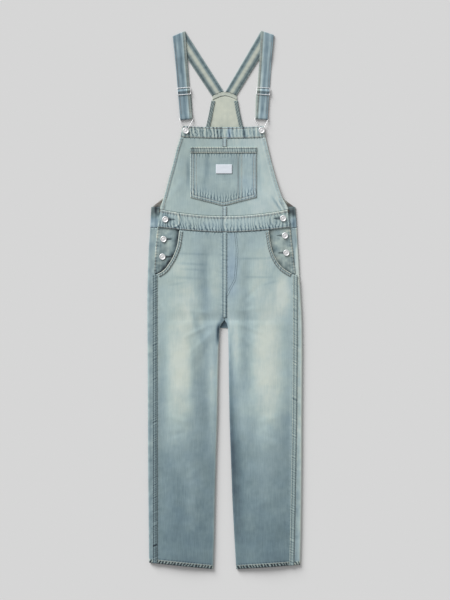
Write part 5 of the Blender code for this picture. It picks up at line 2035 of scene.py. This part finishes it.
def make_stage():
    light = bpy.context.scene.overalls_light
    scene = bpy.context.scene
    scene.view_settings.view_transform = "Standard"
    corners = [(x * FLOOR_HALF, y * FLOOR_HALF, FLOOR_Z) for x, y in SQUARE]
    floor = add_mesh("floor", corners, [(0, 1, 2, 3)], look("paper floor"))
    world = bpy.data.worlds.new("studio")
    world.use_nodes = True
    background = world.node_tree.nodes["Background"]
    background.inputs["Color"].default_value = (1, 1, 1, 1)
    background.inputs["Strength"].default_value = light.sky
    scene.world = world
    lamp = bpy.data.lights.new("key light", "SUN")
    lamp.energy = light.key
    lamp.angle = light.key_angle
    sun = bpy.data.objects.new("key light", lamp)
    sun.rotation_euler = [math.radians(angle) for angle in KEY_TURN]
    scene.collection.objects.link(sun)
    camera = bpy.data.objects.new("camera", bpy.data.cameras.new("camera"))
    camera.data.lens = LENS
    camera.data.sensor_width = SENSOR
    camera.location = (CAMERA_X, 0.0, LENS / SENSOR * VIEW_HEIGHT)
    camera.data.clip_end = 100
    scene.collection.objects.link(camera)
    scene.camera = camera


# Add-on


def number_property(name, description, default, high, low=0, **more):
    return FloatProperty(
        name=name, description=description, default=default, min=low, max=high, **more
    )


def colour_property(name, description, *shown):
    return FloatVectorProperty(
        name=name,
        description=description,
        subtype="COLOR",
        size=3,
        min=0,
        max=1,
        default=linear(*shown),
    )


class OverallsCloth(bpy.types.PropertyGroup):
    crease_height: number_property("Creases", "Height of the creases", 1.0, 2)
    pucker_height: number_property(
        "Puckers", "Height of the ripples along the seams", 0.00035, 0.001, unit="LENGTH"
    )
    stitch_pitch: number_property(
        "Stitch pitch", "From one stitch to the next", 0.0038, 0.01, 0.002, unit="LENGTH"
    )
    thread_radius: number_property(
        "Thread", "Radius of the topstitching thread", 0.00042, 0.001, 0.0001, unit="LENGTH"
    )


class OverallsColours(bpy.types.PropertyGroup):
    furrow_blue: colour_property("Furrow", "Denim at the bottom of a furrow", 40, 50, 58)
    deep_blue: colour_property("Deep blue", "Denim that the wash hardly reached", 74, 90, 100)
    dark_blue: colour_property("Dark blue", "Denim of the lower legs", 106, 126, 133)
    blue: colour_property("Blue", "Denim in the folds", 136, 155, 160)
    pale_blue: colour_property("Pale blue", "Denim of the hips and bib", 164, 182, 182)
    worn_blue: colour_property("Worn blue", "Denim of the thighs", 194, 204, 198)
    wrong_side: colour_property("Wrong side", "Undyed threads inside the cloth", 200, 204, 190)
    inside_shadow: colour_property("Wrong side, deep", "Where no light falls", 98, 90, 84)
    wrong_side_shade: colour_property(
        "Wrong side, shaded", "Blue between the undyed threads", 168, 176, 168
    )
    pale_thread: colour_property("Pale thread", "Thread of the leg hems", 190, 186, 176)
    tan_thread: colour_property("Tan thread", "Topstitching", 158, 140, 128)
    dark_thread: colour_property("Dark thread", "Thread of the leg seams and fly", 70, 84, 96)
    metal: colour_property("Metal", "Buttons, buckles and sliders", 243, 243, 244)
    label: colour_property("Label", "Blank label on the pocket", 216, 222, 230)
    floor: colour_property("Floor", "Paper under the garment", 214, 214, 214)


class OverallsLight(bpy.types.PropertyGroup):
    sky: number_property("Soft light", "Light from all round", 0.46, 5)
    key: number_property("Key light", "Strength of the large lamp at the upper left", 3.95, 20)
    key_angle: number_property(
        "Lamp size", "Angle that the lamp fills", math.radians(34), 3.1, subtype="ANGLE"
    )


GROUPS = {
    "overalls_cloth": OverallsCloth,
    "overalls_colours": OverallsColours,
    "overalls_light": OverallsLight,
}


def operator(idname, label, doc, *work):
    """An operator class that runs the given functions in order."""

    def execute(self, context):
        for job in work:
            job()
        return {"FINISHED"}

    body = {
        "bl_idname": f"overalls.{idname}",
        "bl_label": label,
        "__doc__": doc,
        "execute": execute,
    }
    return type(f"OVERALLS_OT_{idname}", (bpy.types.Operator,), body)


def on_both(job):
    """The job for the left side, then for the right."""

    def run():
        for side in SIGN:
            job(side)

    return run


OPERATORS = [
    operator("stage", "Stage", "Floor, light and camera", make_stage),
    operator(
        "backs",
        "Back legs",
        "Back legs, which turn up at the sides",
        on_both(make_back),
        make_crotch,
    ),
    operator(
        "back_top",
        "Back",
        "Back above the waist, its turned edges and yoke band",
        make_back_bib,
        on_both(make_back_hem),
        make_yoke_band,
    ),
    operator("fronts", "Front legs", "Front legs with their wash", on_both(make_front)),
    operator(
        "seams", "Seams", "Felled outseams and centre seam", on_both(make_outseam), make_centre_seam
    ),
    operator(
        "pockets",
        "Pocket openings",
        "Side facings and stitched rims",
        on_both(make_facing),
        on_both(make_pocket_rim),
    ),
    operator("waist", "Waistband", "Waistband and its two tabs", make_waistband),
    operator(
        "bib",
        "Bib",
        "Bib halves, their seam and the band",
        on_both(make_bib_half),
        make_bib_seams,
        make_bib_band,
    ),
    operator(
        "bib_pocket",
        "Bib pocket",
        "Bib pocket, its hem and the blank label",
        make_bib_pocket,
        make_pocket_hem,
        make_label,
    ),
    operator("straps", "Straps", "Straps from the yoke to the buckles", on_both(make_strap)),
    operator(
        "metal",
        "Metal",
        "Sliders, buckles and buttons",
        on_both(make_slider),
        on_both(make_buckle),
        on_both(make_buttons),
    ),
    operator(
        "stitching",
        "Stitching",
        "Topstitching of every seam and hem",
        stitch_legs,
        stitch_pockets,
        stitch_waist,
        stitch_bib,
        stitch_bib_pocket,
        stitch_straps,
    ),
]


class OVERALLS_PT_panel(bpy.types.Panel):
    """Lists the garment's pieces and their settings"""

    bl_label = "Overalls"
    bl_space_type = "VIEW_3D"
    bl_region_type = "UI"
    bl_category = "Overalls"

    def draw(self, context):
        for made in OPERATORS:
            self.layout.operator(made.bl_idname)
        for name, group in GROUPS.items():
            box = self.layout.box()
            for key in group.__annotations__:
                box.prop(getattr(context.scene, name), key)


def register():
    for made in [*GROUPS.values(), *OPERATORS, OVERALLS_PT_panel]:
        bpy.utils.register_class(made)
    for key, group in GROUPS.items():
        setattr(bpy.types.Scene, key, PointerProperty(type=group))


def unregister():
    for key in GROUPS:
        delattr(bpy.types.Scene, key)
    for made in [OVERALLS_PT_panel, *reversed(OPERATORS), *GROUPS.values()]:
        bpy.utils.unregister_class(made)


def main():
    register()
    for made in OPERATORS:
        group, name = made.bl_idname.split(".")
        getattr(getattr(bpy.ops, group), name)()


if __name__ == "__main__":
    main()
